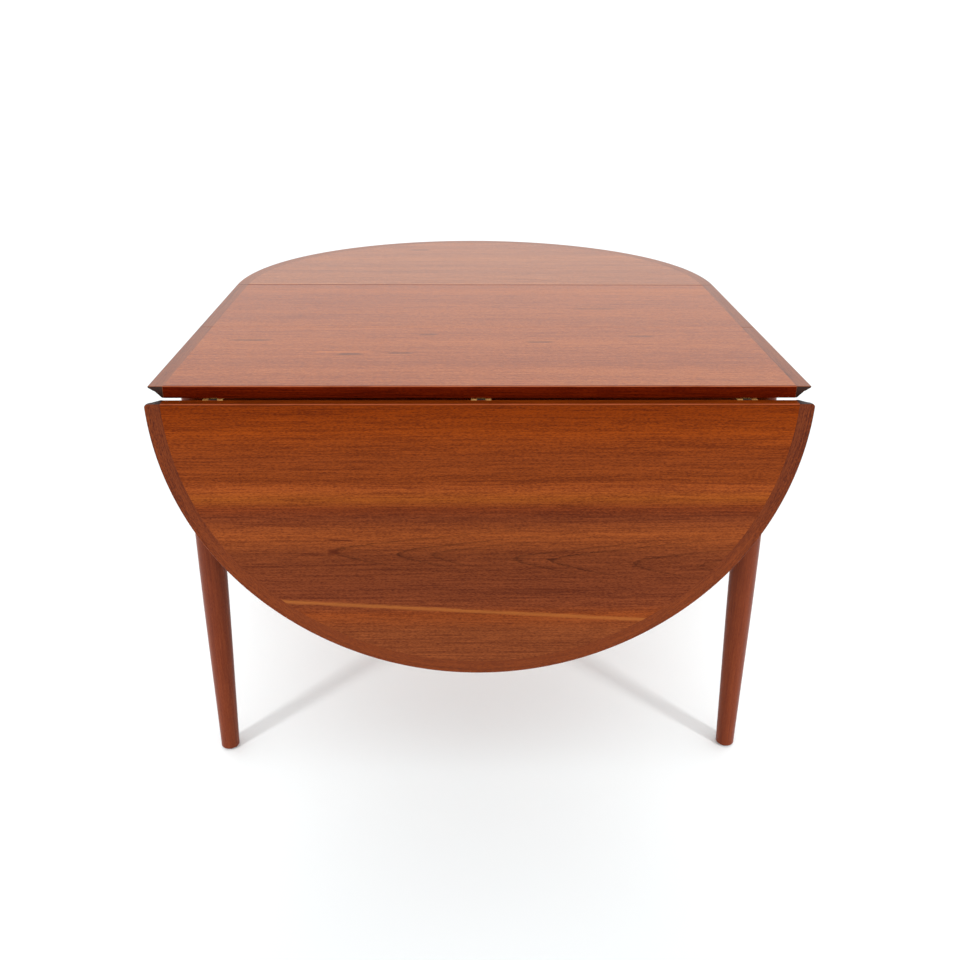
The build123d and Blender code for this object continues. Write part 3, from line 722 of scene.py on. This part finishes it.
@dataclass
class Eased:
    """A CAD node copied with its sharp arrises rounded over.

    node is the CAD node, radius the width taken off an arris, and shortest the shortest arris that is
    rounded. planes, if any, keep it to arrises in one of these (axis, level) planes, or in all of them
    if every is set.
    """

    node: str
    radius: float = 0.6 * MM
    shortest: float = 60.0 * MM
    planes: tuple[tuple[int, float], ...] = ()
    every: bool = False
    segments: int = 2

    # faces that meet at less than FLAT are one, and an arris turns by at least SHARP
    FLAT = math.radians(0.4)
    SHARP = math.radians(40.0)
    ON_PLANE = 0.05 * MM

    def _wanted(self, edge: bmesh.types.BMEdge) -> bool:
        """Chooses arrises.

        Args:
            edge: an edge of the piece.

        Returns:
            True if it is rounded.
        """
        if len(edge.link_faces) != 2 or edge.calc_length() < self.shortest:
            return False
        if edge.calc_face_angle(0.0) < self.SHARP:
            return False
        inside = [
            all(abs(vert.co[axis] - level) < self.ON_PLANE for vert in edge.verts)
            for axis, level in self.planes
        ]
        return all(inside) if self.every else any(inside) or not inside

    def build(self, body: str, slot: str, finish: bpy.types.Material) -> bpy.types.Object:
        """Makes the piece.

        Args:
            body: the body it rides on.
            slot: not used.
            finish: its material.

        Returns:
            The new object.
        """
        work = bmesh.new()
        work.from_mesh(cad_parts[self.node].data)
        bmesh.ops.remove_doubles(work, verts=work.verts, dist=WELD)
        bmesh.ops.dissolve_limit(work, angle_limit=self.FLAT, verts=work.verts, edges=work.edges)
        work.normal_update()
        edges = [edge for edge in work.edges if self._wanted(edge)]
        # the rounded faces are marked so teak finishes can paint rubbed wood and a painted highlight on them
        worn = work.faces.layers.float.new("worn")
        rounded = bmesh.ops.bevel(work, geom=edges, offset=self.radius, segments=self.segments, profile=0.5,
                                  affect="EDGES", clamp_overlap=True)
        for face in rounded["faces"]:
            face[worn] = 1.0
        piece = add_piece(self.node + "_eased", new_mesh(self.node, work), body, (self.node,), finish)
        shade(piece)
        return piece


@dataclass(frozen=True)
class EdgeSection:
    """The bevelled solid edge: a thin upright nose, a hollow bevel under it, and a flat seat.

    Points are (distance in from the tip, height over the underside).
    """

    width: float
    thickness: float = 19.0 * MM
    bevel: float = 20.5 * MM
    nose: float = 2.0 * MM
    radius: float = 1.0 * MM
    hollow: float = 1.2 * MM

    # steps round the nose and over the hollow, and how high the middle is that the outline draws in to
    NOSE_STEPS = 5
    HOLLOW_STEPS = 12
    MIDDLE = 0.6

    def points(self, ease: float = 0.0) -> list[tuple[float, float]]:
        """The outline, drawn in by ease all round.

        Args:
            ease: how far the whole outline is drawn in.

        Returns:
            Its corners in order.
        """
        top, under_nose = self.thickness, self.thickness - self.nose
        outline = [(self.width, 0.0), (self.width, top)]
        for step in range(self.NOSE_STEPS + 1):
            turn = math.pi / 2 * step / self.NOSE_STEPS
            outline.append((self.radius * (1 - math.sin(turn)), top - self.radius * (1 - math.cos(turn))))
        chord = math.hypot(self.bevel, under_nose)
        for step in range(self.HOLLOW_STEPS + 1):
            share = step / self.HOLLOW_STEPS
            lift = self.hollow * 4 * share * (1 - share)
            outline.append((
                self.bevel * share + under_nose / chord * lift,
                under_nose * (1 - share) + self.bevel / chord * lift,
            ))
        middle = (self.width / 2, top * self.MIDDLE)
        return [
            (x + math.copysign(min(ease, abs(middle[0] - x)), middle[0] - x),
             z + math.copysign(min(ease, abs(middle[1] - z)), middle[1] - z))
            for x, z in outline
        ]


# one place on a line in plan: its tip, the way inwards, the distance run and how far the tip is cut back
Station = tuple[Vector, Vector, float, float]


@dataclass
class Swept:
    """A solid edge that follows a line in plan, with coordinates of its own for the grain.

    start is where those count the run from.
    """

    name: str
    section: EdgeSection
    start: float = 0.0
    ease: float = 0.8 * MM

    SAME_POINT = 0.001 * MM

    def build(self, stations: list[Station], lay: Callable[[Vector, float], Vector]) -> bpy.types.Mesh:
        """Sweeps the section.

        Args:
            stations: the places that the section passes.
            lay: puts a plan point and a height into the frame's coordinates.

        Returns:
            The mesh.
        """
        work = bmesh.new()
        layer = work.verts.layers.float_vector.new("grain")
        rings = []
        last = len(stations) - 1
        for index, (tip, inwards, run, cut) in enumerate(stations):
            ring = []
            for x, z in self.section.points(self.ease if index in (0, last) else 0.0):
                x = max(x, cut)
                vert = work.verts.new(lay(tip + inwards * x, z))
                vert[layer] = Vector((run + self.start, x, z))
                ring.append(vert)
            rings.append(ring)
        for first, second in zip(rings, rings[1:]):
            for i in range(len(first)):
                j = (i + 1) % len(first)
                work.faces.new((first[i], first[j], second[j], second[i]))
        work.faces.new(rings[0])
        work.faces.new(rings[-1])
        bmesh.ops.remove_doubles(work, verts=work.verts, dist=self.SAME_POINT)
        return new_mesh(self.name, work)


@dataclass
class SlottedScrews:
    """Domed slotted heads with their shanks, one for each separate solid of a CAD node of screws."""

    node: str
    head_radius: float = 3.4 * MM
    head_height: float = 1.5 * MM
    shank_radius: float = 1.75 * MM
    slot_width: float = 0.8 * MM
    slot_depth: float = 0.8 * MM

    # points this far from the axis are on the head, never on the shank
    BEYOND_SHANK = 3.0 * MM
    # shares of the head's height: its rim, and what lies above it; shares of the shank's radius: the
    # point's radius and length
    RIM, ABOVE_RIM = 0.28, 0.3
    POINT, TAPER = 0.15, 2.5
    # the slot stays this far above the seat
    FLOOR = 0.15 * MM
    SIDES, DOME_STEPS = 28, 7

    def places(self) -> list[tuple[Vector, Vector, float]]:
        """Reads the CAD node.

        Returns:
            For each screw, the middle of its head's seat, the way it is driven and its length from there.
        """
        work = bmesh.new()
        work.from_mesh(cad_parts[self.node].data)
        bmesh.ops.remove_doubles(work, verts=work.verts, dist=WELD)
        left = set(work.verts)
        found = []
        while left:
            island, edge = set(), [left.pop()]
            while edge:
                vert = edge.pop()
                island.add(vert)
                for link in vert.link_edges:
                    other = link.other_vert(vert)
                    if other in left:
                        left.discard(other)
                        edge.append(other)
            points = [vert.co.copy() for vert in island]
            low = Vector(min(p[i] for p in points) for i in range(3))
            high = Vector(max(p[i] for p in points) for i in range(3))
            axis = max(range(3), key=lambda i: high[i] - low[i])
            middle = (low + high) / 2
            around = [i for i in range(3) if i != axis]
            wide = [p for p in points if math.hypot(*(p[i] - middle[i] for i in around)) > self.BEYOND_SHANK]
            head = sum(p[axis] for p in wide) / len(wide)
            down = Vector((0.0, 0.0, 0.0))
            down[axis] = 1.0 if head < middle[axis] else -1.0
            seat = middle.copy()
            seat[axis] = (low[axis] if down[axis] > 0 else high[axis]) + down[axis] * self.head_height
            found.append((seat, down, high[axis] - low[axis] - self.head_height))
        work.free()
        return sorted(found, key=lambda row: tuple(round(v, 4) for v in row[0]))

    def one(self, length: float, turn: float) -> bpy.types.Mesh:
        """One screw, upright with its seat at the origin and its slot turned.

        Args:
            length: from the seat to the point.
            turn: the slot's angle.

        Returns:
            Its mesh.
        """
        work = bmesh.new()
        radius, height, shank = self.head_radius, self.head_height, self.shank_radius
        point, taper = shank * self.POINT, shank * self.TAPER
        outline = [(point, -length), (shank, taper - length), (shank, 0.0), (radius, 0.0)]
        for step in range(self.DOME_STEPS):
            rise = math.pi / 2 * step / self.DOME_STEPS
            outline.append((radius * math.cos(rise), height * (self.RIM + (1 - self.RIM) * math.sin(rise))))
        angles = [math.tau * i / self.SIDES for i in range(self.SIDES)]
        rings = [[work.verts.new((r * math.cos(t), r * math.sin(t), z)) for t in angles] for r, z in outline]
        for first, second in zip(rings, rings[1:]):
            for i in range(self.SIDES):
                j = (i + 1) % self.SIDES
                work.faces.new((first[i], first[j], second[j], second[i]))
        work.faces.new(rings[0])
        work.faces.new(rings[-1])
        for side in (-1, 1):
            geometry = [*work.verts, *work.edges, *work.faces]
            wall = (side * self.slot_width / 2, 0, 0)
            bmesh.ops.bisect_plane(work, geom=geometry, plane_co=wall, plane_no=(1, 0, 0), dist=1e-7)
        strip = [face for face in work.faces if face.calc_center_median().z > height * self.ABOVE_RIM
                 and abs(face.calc_center_median().x) < self.slot_width / 2]
        floor = bmesh.ops.extrude_face_region(work, geom=strip)["geom"]
        bmesh.ops.delete(work, geom=strip, context="FACES_ONLY")
        for vert in (item for item in floor if isinstance(item, bmesh.types.BMVert)):
            vert.co.z = max(height - self.slot_depth, self.FLOOR)
        bmesh.ops.rotate(work, verts=work.verts, matrix=Matrix.Rotation(turn, 3, "Z"))
        return new_mesh("screw", work)

    def build(self, body: str, slot: str, finish: bpy.types.Material) -> bpy.types.Object:
        """Makes all the screws as one piece.

        Args:
            body: the body they ride on.
            slot: not used.
            finish: their material.

        Returns:
            The new object.
        """
        work = bmesh.new()
        golden = math.pi * (3 - math.sqrt(5))
        for index, (seat, down, length) in enumerate(self.places()):
            mesh = self.one(length, index * golden)
            mesh.transform(Matrix.Translation(seat) @ (-down).to_track_quat("Z", "Y").to_matrix().to_4x4())
            work.from_mesh(mesh)
            bpy.data.meshes.remove(mesh)
        piece = add_piece(self.node + "_slotted", new_mesh(self.node, work), body, (self.node,), finish)
        shade(piece, 32.0)
        return piece


# ------------------------------------------------------------------ the table's finishes
# the front leaf's colour from its hinge edge to its tip: shares of the way, and the colour there
LEAF_TONES: tuple[tuple[float, Colour], ...] = (
    (0.024, (0.26, 0.038, 0.0002)), (0.092, (0.34, 0.059, 0.0035)),
    (0.124, (0.33, 0.061, 0.006)), (0.192, (0.29, 0.057, 0.0087)),
    (0.259, (0.31, 0.062, 0.0089)), (0.292, (0.42, 0.093, 0.016)),
    (0.327, (0.35, 0.083, 0.011)), (0.359, (0.25, 0.048, 0.0097)),
    (0.392, (0.24, 0.052, 0.014)), (0.459, (0.36, 0.084, 0.017)),
    (0.531, (0.24, 0.055, 0.015)), (0.661, (0.22, 0.049, 0.015)),
    (0.727, (0.27, 0.062, 0.018)), (0.761, (0.32, 0.068, 0.013)),
    (0.827, (0.3, 0.075, 0.02)), (0.894, (0.3, 0.075, 0.021)),
)
DARK_LINE: Colour = (0.09, 0.014, 0.004)
TOP_DARK: Colour = (0.07, 0.018, 0.01)
RAIL_COLOURS = ((0.25, 0.06, 0.016), (0.17, 0.034, 0.009), (0.09, 0.016, 0.005))
LEAF_MARKS = (
    Mark(-0.021, 0.3656, 1.3, 0.0085, (0.42, 0.13, 0.028), 0.6, 0.0623),
    Mark(-0.226, 0.232, 0.05, 0.004, DARK_LINE, 0.7, 0.03),
    Mark(-0.238, 0.2535, 0.022, 0.012, DARK_LINE, 0.75),
    Mark(0.13, 0.326, 0.12, 0.004, DARK_LINE, 0.5, 0.02),
)
TOP_MARKS = (
    Mark(0.231, 0.131, 0.11, 0.006, TOP_DARK, 0.85),
    Mark(-0.402, -0.085, 0.09, 0.008, TOP_DARK, 0.75),
    Mark(-0.218, -0.168, 0.05, 0.010, TOP_DARK, 0.7),
    Mark(-0.134, -0.162, 0.05, 0.009, TOP_DARK, 0.7),
    Mark(-0.09, -0.05, 0.04, 0.012, TOP_DARK, 0.5),
    Mark(0.107, -0.096, 0.06, 0.009, TOP_DARK, 0.7),
    Mark(0.29, -0.06, 0.06, 0.008, TOP_DARK, 0.6),
    Mark(-0.228, -0.156, 0.13, 0.007, (0.6, 0.17, 0.03), 0.7),
)
REAR_LEAF_MARKS = (Mark(-0.135, 0.703, 0.06, 0.014, (0.09, 0.028, 0.014), 0.6),)


class Finishes:
    """Every finish of the table, made once and shared."""

    def __init__(self) -> None:
        """Makes them all."""
        hanging = Grain(across=(0.0, 0.0, -1.0), origin=(0.0, 0.0, 0.706))
        along_y = Grain(along=(0.0, 1.0, 0.0), across=(1.0, 0.0, 0.0))
        bent = Grain(swept=True)
        upright = Grain(along=(0.0, 0.0, 1.0), across=(1.0, 0.0, 0.0))
        rows = (
            # the front leaf, its lipping and its band are darker, more saturated, less glossy copies of the
            # rear pieces' teak: painted shade for the hanging leaf
            Teak("teak_front_leaf", hanging, (1.0, 1.0, 1.0), (0.72, 0.68, 0.68), (0.42, 0.34, 0.4),
                 Figure.FLAME, 3.0, contrast=1.35, dashes=1.4, bands=0.5, index=1.14, tones=LEAF_TONES,
                 marks=LEAF_MARKS),
            Teak("teak_rear_leaf", Grain(), (0.5, 0.185, 0.075), (0.36, 0.113, 0.042), (0.22, 0.057, 0.022),
                 seed=11.0, contrast=1.2, dashes=1.5, bands=1.0, breadth=0.08, marks=REAR_LEAF_MARKS),
            Teak("teak_top", Grain(), (0.48, 0.15, 0.044), (0.37, 0.09, 0.02), (0.22, 0.045, 0.012),
                 seed=5.0, contrast=1.2, dashes=1.8, bands=1.0, breadth=0.08, marks=TOP_MARKS),
            # front lipping: darker copy of the rear lipping, painted shade; its hinge arris also gets a
            # painted highlight with rubbed wood
            Teak("teak_front_lipping", hanging, (0.24, 0.04, 0.002), (0.15, 0.022, 0.001),
                 (0.07, 0.01, 0.001), seed=3.0, index=1.1, worn=(0.36, 0.08, 0.03)),
            Teak("teak_rear_lipping", Grain(), (0.45, 0.15, 0.06), (0.32, 0.095, 0.036), (0.19, 0.05, 0.02),
                 seed=11.0),
            # the top's lipping: its upper front arris gets a painted highlight with rubbed, lighter wood
            Teak("teak_top_edge", Grain(along=(0.9995, 0.0, 0.03), across=(0.0, 0.0, 1.0)),
                 (0.19, 0.017, 0.0008), (0.1, 0.006, 0.0004), (0.035, 0.002, 0.0003), seed=7.0, index=1.06,
                 worn=(0.5, 0.14, 0.06)),
            Teak("teak_strip", along_y, (0.31, 0.1, 0.038), (0.225, 0.063, 0.026), (0.125, 0.032, 0.013),
                 seed=2.0, contrast=1.2, sawn=((0.0, 1.0, 0.0), (0.0, -1.0, 0.0))),
            # front band: darker copy of the rear band, painted shade
            Teak("teak_front_band", bent, (0.24, 0.05, 0.01), (0.155, 0.028, 0.006), (0.08, 0.013, 0.004),
                 Figure.BANDED, 4.0, contrast=1.3, dashes=1.5, index=1.2, sawn=((0.0, 0.0, 1.0),)),
            Teak("teak_rear_band", bent, (0.38, 0.13, 0.05), (0.27, 0.08, 0.03), (0.16, 0.042, 0.016),
                 seed=6.0, dashes=1.3, sawn=((0.0, -1.0, 0.0),)),
            Teak("teak_leg", upright, (0.235, 0.048, 0.012), (0.155, 0.028, 0.0075), (0.1, 0.016, 0.005),
                 seed=9.0, contrast=0.7, index=1.22),
            Teak("teak_rail", Grain(across=(0.0, 0.0, 1.0)), *RAIL_COLOURS, seed=8.0),
            Teak("teak_side_rail", Grain((0.0, 1.0, 0.0), (0.0, 0.0, 1.0)), *RAIL_COLOURS, seed=6.0),
            Beech("beech_block", upright),
            Beech("beech_runner", along_y),
            # the last number of each brass is the strength of painted shade on the knuckles round the hinge
            # pin
            Metal("brass_aged", (0.85, 0.52, 0.18), (0.5, 0.26, 0.08), 0.3, 0.12),
            Metal("brass_shaded_knuckles", (0.7, 0.42, 0.16), (0.36, 0.18, 0.06), 0.34, 1.0),
            Metal("steel_plated", (0.55, 0.54, 0.52), (0.3, 0.29, 0.27), 0.34),
            Nylon("nylon_glide", (0.05, 0.045, 0.04)),
        )
        self._made = {row.name: row.make() for row in rows}

    def __getitem__(self, name: str) -> bpy.types.Material:
        """The finish of that name."""
        return self._made[name]


# ------------------------------------------------------------------ sub-assemblies
@dataclass
class TopHalf:
    """One half of the top: its veneered board, lipping, and a bevelled strip across each end of the grain."""

    end: str
    finishes: Finishes
    strip: EdgeSection = field(default_factory=lambda: EdgeSection(23.0 * MM))

    def build(self) -> None:
        """Makes the half's boards."""
        body = self.end + "_end"
        low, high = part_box(self.end + "_top_panel")
        meeting = high.y if self.end == "front" else low.y
        lip_low, lip_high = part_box(self.end + "_top_lipping")
        hinge_edge = lip_low.y if self.end == "front" else lip_high.y
        board = Eased(self.end + "_top_panel", 0.25 * MM, planes=((1, meeting),))
        board.build(body, "teak_veneer", self.finishes["teak_top"])
        arris = ((1, hinge_edge), (2, high.z))
        lipping = Eased(self.end + "_top_lipping", 1.1 * MM, planes=arris, every=True, segments=3)
        lipping.build(body, "teak_edge", self.finishes["teak_top_edge"])
        for side in SIDES:
            self.build_strip(side, body)

    def build_strip(self, side: str, body: str) -> None:
        """Makes one end strip.

        Args:
            side: left or right.
            body: the body it rides on.
        """
        node = f"{self.end}_{side}_end_strip"
        low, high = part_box(node)
        tip = high.x if side == "right" else low.x
        inwards = Vector((-1.0 if side == "right" else 1.0, 0.0, 0.0))
        moulding = Swept(node, self.strip)
        runs = (low.y, low.y + moulding.ease, high.y - moulding.ease, high.y)
        stations = [(Vector((tip, y, 0.0)), inwards, y, 0.0) for y in runs]
        mesh = moulding.build(stations, lambda plan, z: Vector((plan.x, plan.y, low.z + z)))
        shade(add_piece(node + "_moulded", mesh, body, (node,), self.finishes["teak_strip"]))


@dataclass
class Leaf:
    """A D-shaped leaf: veneered field, lipping along the hinge and a bevelled band bent round the curve."""

    end: str
    finishes: Finishes
    half_width: float = 510.0 * MM
    side_radius: float = 476.0 * MM
    corner: float = 6.0 * MM
    joint: float = 334.3 * MM
    underside: float = 706.0 * MM
    band: EdgeSection = field(default_factory=lambda: EdgeSection(24.0 * MM))

    # stations round a corner, and from there to the side's end
    STEPS = (10, 60)

    def lay(self, plan: Vector, z: float) -> Vector:
        """Puts a point of the flat leaf where this leaf is at rest.

        Args:
            plan: right and out from the hinge edge.
            z: height over the underside.

        Returns:
            The place in the frame: raised at the rear, hanging at the front.
        """
        y, height = self.joint + plan.y, self.underside + z
        if self.end == "rear":
            return Vector((plan.x, y, height))
        return Vector((plan.x, -PIN_Y - (height - PIN_Z), PIN_Z + PIN_Y - y))

    def stations(self) -> list[Station]:
        """Places along the outline, right to left.

        Returns:
            The places.
        """
        side_x = self.half_width - self.side_radius
        drop = LEAF_REACH - self.side_radius
        crown = self.side_radius + (side_x**2 + drop**2) / (2 * drop)
        crown_y = LEAF_REACH - crown
        join = math.atan2(-crown_y, side_x)
        near_steps, steps = self.STEPS
        corner = (self.corner * (1 - math.cos(math.pi / 2 * i / near_steps)) for i in range(near_steps + 1))
        near = [math.asin(y / self.side_radius) for y in corner]
        side = near + [near[-1] + (join - near[-1]) * i / steps for i in range(1, steps + 1)]
        middle = [join + (math.pi - 2 * join) * i / (2 * steps) for i in range(1, 2 * steps)]
        rows, run, before = [], 0.0, None
        for x, y, radius, turns in (
            (side_x, 0.0, self.side_radius, side),
            (0.0, crown_y, crown, middle),
            (-side_x, 0.0, self.side_radius, [math.pi - turn for turn in reversed(side)]),
        ):
            for turn in turns:
                out = Vector((math.cos(turn), math.sin(turn), 0.0))
                tip = Vector((x, y, 0.0)) + out * radius
                run += (tip - before).length if before else 0.0
                before = tip
                short = max(0.0, self.corner - tip.y)
                cut = self.corner - math.sqrt(max(0.0, self.corner**2 - short**2))
                rows.append((tip, -out, run, cut))
        return rows

    def build(self) -> None:
        """Makes the leaf."""
        body = self.end + "_leaf"
        dress(self.end + "_leaf_panel", self.finishes[f"teak_{self.end}_leaf"])
        low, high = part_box(self.end + "_leaf_lipping")
        plane = (2, high.z) if self.end == "front" else (1, low.y)
        lipping = Eased(self.end + "_leaf_lipping", 1.3 * MM, planes=(plane,), segments=3)
        lipping.build(body, "teak_edge", self.finishes[f"teak_{self.end}_lipping"])
        node = self.end + "_leaf_band"
        stations = self.stations()
        mesh = Swept(node, self.band, -stations[-1][2] / 2).build(stations, self.lay)
        shade(add_piece(node + "_moulded", mesh, body, (node,),
                        self.finishes[f"teak_{self.end}_band"]))


@dataclass
class Underframe:
    """The legs, rails, corner blocks and leg bolts of one half."""

    end: str
    finishes: Finishes

    def build(self) -> None:
        """Makes the underframe."""
        body = self.end + "_end"
        Eased(self.end + "_apron", 0.8 * MM, 300.0 * MM).build(body, "teak_rail", self.finishes["teak_rail"])
        for side in SIDES:
            dress(f"{self.end}_{side}_leg", self.finishes["teak_leg"])
            Eased(f"{self.end}_{side}_side_rail", 0.8 * MM, 150.0 * MM).build(
                body, "teak_rail", self.finishes["teak_side_rail"])
        for node, radius, shortest, slot, finish in (
            ("_corner_blocks", 0.6, 20.0, "beech", "beech_block"),
            ("_leg_bolts", 0.25, 2.0, "steel", "steel_plated"),
            ("_foot_glides", 0.4, 0.5, "nylon", "nylon_glide"),
        ):
            Eased(self.end + node, radius * MM, shortest * MM).build(body, slot, self.finishes[finish])


@dataclass
class Hardware:
    """The hinges, stays and screws of one end."""

    end: str
    finishes: Finishes

    def build(self) -> None:
        """Makes the metalwork."""
        fixed, leaf, stays = self.end + "_end", self.end + "_leaf", self.end + "_stays"
        brass, steel = self.finishes["brass_aged"], self.finishes["steel_plated"]
        knuckle_shaded_brass = self.finishes["brass_shaded_knuckles"]
        # the leaf plates' knuckles carry full-strength painted shade
        hinges = (("top_plates", fixed, brass), ("pins", fixed, brass), ("leaf_plates", leaf, knuckle_shaded_brass))
        for part, body, metal in hinges:
            Eased(f"{self.end}_hinge_{part}", 0.25 * MM, 0.6 * MM).build(body, "brass", metal)
        Eased(self.end + "_stay_brackets", 0.3 * MM, 1.0 * MM).build(fixed, "steel", steel)
        Eased(self.end + "_stay_tracks", 0.2 * MM, 1.0 * MM).build(leaf, "steel", steel)
        for side in SIDES:
            Eased(f"{self.end}_{side}_stay", 0.4 * MM, 1.0 * MM).build(stays, "steel", steel)
        SlottedScrews(self.end + "_end_screws").build(fixed, "steel", steel)
        SlottedScrews(self.end + "_leaf_screws").build(leaf, "steel", steel)


@dataclass
class Runners:
    """The two extending runners, each of three bars."""

    finishes: Finishes

    def build(self) -> None:
        """Makes the runners."""
        beech = self.finishes["beech_runner"]
        for side in SIDES:
            for bar, body in (("front", "front_end"), ("middle", "runner_middles"), ("rear", "rear_end")):
                Eased(f"{side}_runner_{bar}", 0.5 * MM, 100.0 * MM).build(body, "beech", beech)


@dataclass
class MeetingEdge:
    """What holds the halves together where they meet: dowels, and the lock's plate, lever and keeper."""

    finishes: Finishes

    def build(self) -> None:
        """Makes the dowels and the lock."""
        steel = self.finishes["steel_plated"]
        Eased("meeting_dowels", 0.2 * MM, 0.5 * MM).build("front_end", "beech", self.finishes["beech_runner"])
        for part, body in (("plate", "front_end"), ("keeper", "rear_end"), ("lever", "lock_lever")):
            Eased("lock_" + part, 0.3 * MM, 1.0 * MM).build(body, "steel", steel)


# ------------------------------------------------------------------ the studio
@dataclass
class Studio:
    """A pale floor, soft white light all round, a small key light for each front leg and the camera."""

    floor_size: float = 40.0
    camera_at: Point = (-0.02698, -1.7854, 1.2229)
    pitch: float = 0.4244
    yaw: float = 0.0179
    roll: float = 0.0055
    lens: float = 37.33
    surround: float = 1.19
    key_power: float = 1.7
    key_size: float = 0.35
    key_spread: float = math.radians(30.0)
    key_at: Point = (2.2, -2.2, 1.5)
    key_aim: Point = (0.75, -0.1, 0.0)
    floor_gap: float = 0.2 * MM
    floor_tints: tuple[Colour, Colour] = ((0.915, 0.955, 0.965), (0.925, 0.965, 0.975))

    def build(self) -> None:
        """Makes the studio."""
        self.build_floor()
        self.build_light()
        self.build_camera()

    def build_floor(self) -> None:
        """A wide pale floor at the feet's level."""
        work = bmesh.new()
        bmesh.ops.create_grid(work, x_segments=8, y_segments=8, size=self.floor_size / 2)
        mesh = new_mesh("floor", work)
        floor = bpy.data.objects.new("floor", mesh)
        floor.location.z = CAD_BOX[0].z - self.floor_gap
        bpy.context.scene.collection.objects.link(floor)
        r = Recipe("floor_paint")
        mottle = r.node("ShaderNodeTexNoise", None, {"Vector": r.coordinates(), "Scale": 3.0, "Detail": 2.0})
        colour = r.mix(mottle, *self.floor_tints)
        mesh.materials.append(r.finish(Base_Color=colour, Roughness=0.9, IOR=1.1))

    def build_light(self) -> None:
        """White surroundings, and a small light at each side that throws its front leg's shadow inwards."""
        world = bpy.data.worlds.new("surround")
        world.use_nodes = True
        background = world.node_tree.nodes["Background"]
        background.inputs["Color"].default_value = (1.0, 1.0, 1.0, 1.0)
        background.inputs["Strength"].default_value = self.surround
        bpy.context.scene.world = world
        bpy.context.scene.view_settings.view_transform = "Standard"
        for name, side in (("left_key", -1.0), ("right_key", 1.0)):
            light = bpy.data.lights.new(name, "AREA")
            light.size = self.key_size
            light.energy = self.key_power
            light.spread = self.key_spread
            lamp = bpy.data.objects.new(name, light)
            mirror = Vector((side, 1.0, 1.0))
            lamp.location = mirror * Vector(self.key_at)
            aim = mirror * Vector(self.key_aim) - lamp.location
            lamp.rotation_euler = aim.to_track_quat("-Z", "Y").to_euler()
            bpy.context.scene.collection.objects.link(lamp)

    def build_camera(self) -> None:
        """The camera, a little above the top and in front of the hanging leaf."""
        data = bpy.data.cameras.new("camera")
        data.sensor_width = 36.0
        data.lens = self.lens
        camera = bpy.data.objects.new("camera", data)
        turned = Matrix.Rotation(-self.yaw, 4, "Z") @ Matrix.Rotation(math.pi / 2 - self.pitch, 4, "X")
        rolled = turned @ Matrix.Rotation(self.roll, 4, "Z")
        camera.matrix_world = Matrix.Translation(self.camera_at) @ rolled
        bpy.context.scene.collection.objects.link(camera)
        bpy.context.scene.camera = camera


def main() -> None:
    """Builds the table and its studio in order."""
    logging.basicConfig(level=logging.INFO, format="%(name)s: %(message)s")
    finishes = Finishes()
    Studio().build()
    for end in ENDS:
        TopHalf(end, finishes).build()
        Leaf(end, finishes).build()
        Underframe(end, finishes).build()
        Hardware(end, finishes).build()
    Runners(finishes).build()
    MeetingEdge(finishes).build()


if __name__ == "__main__":
    main()
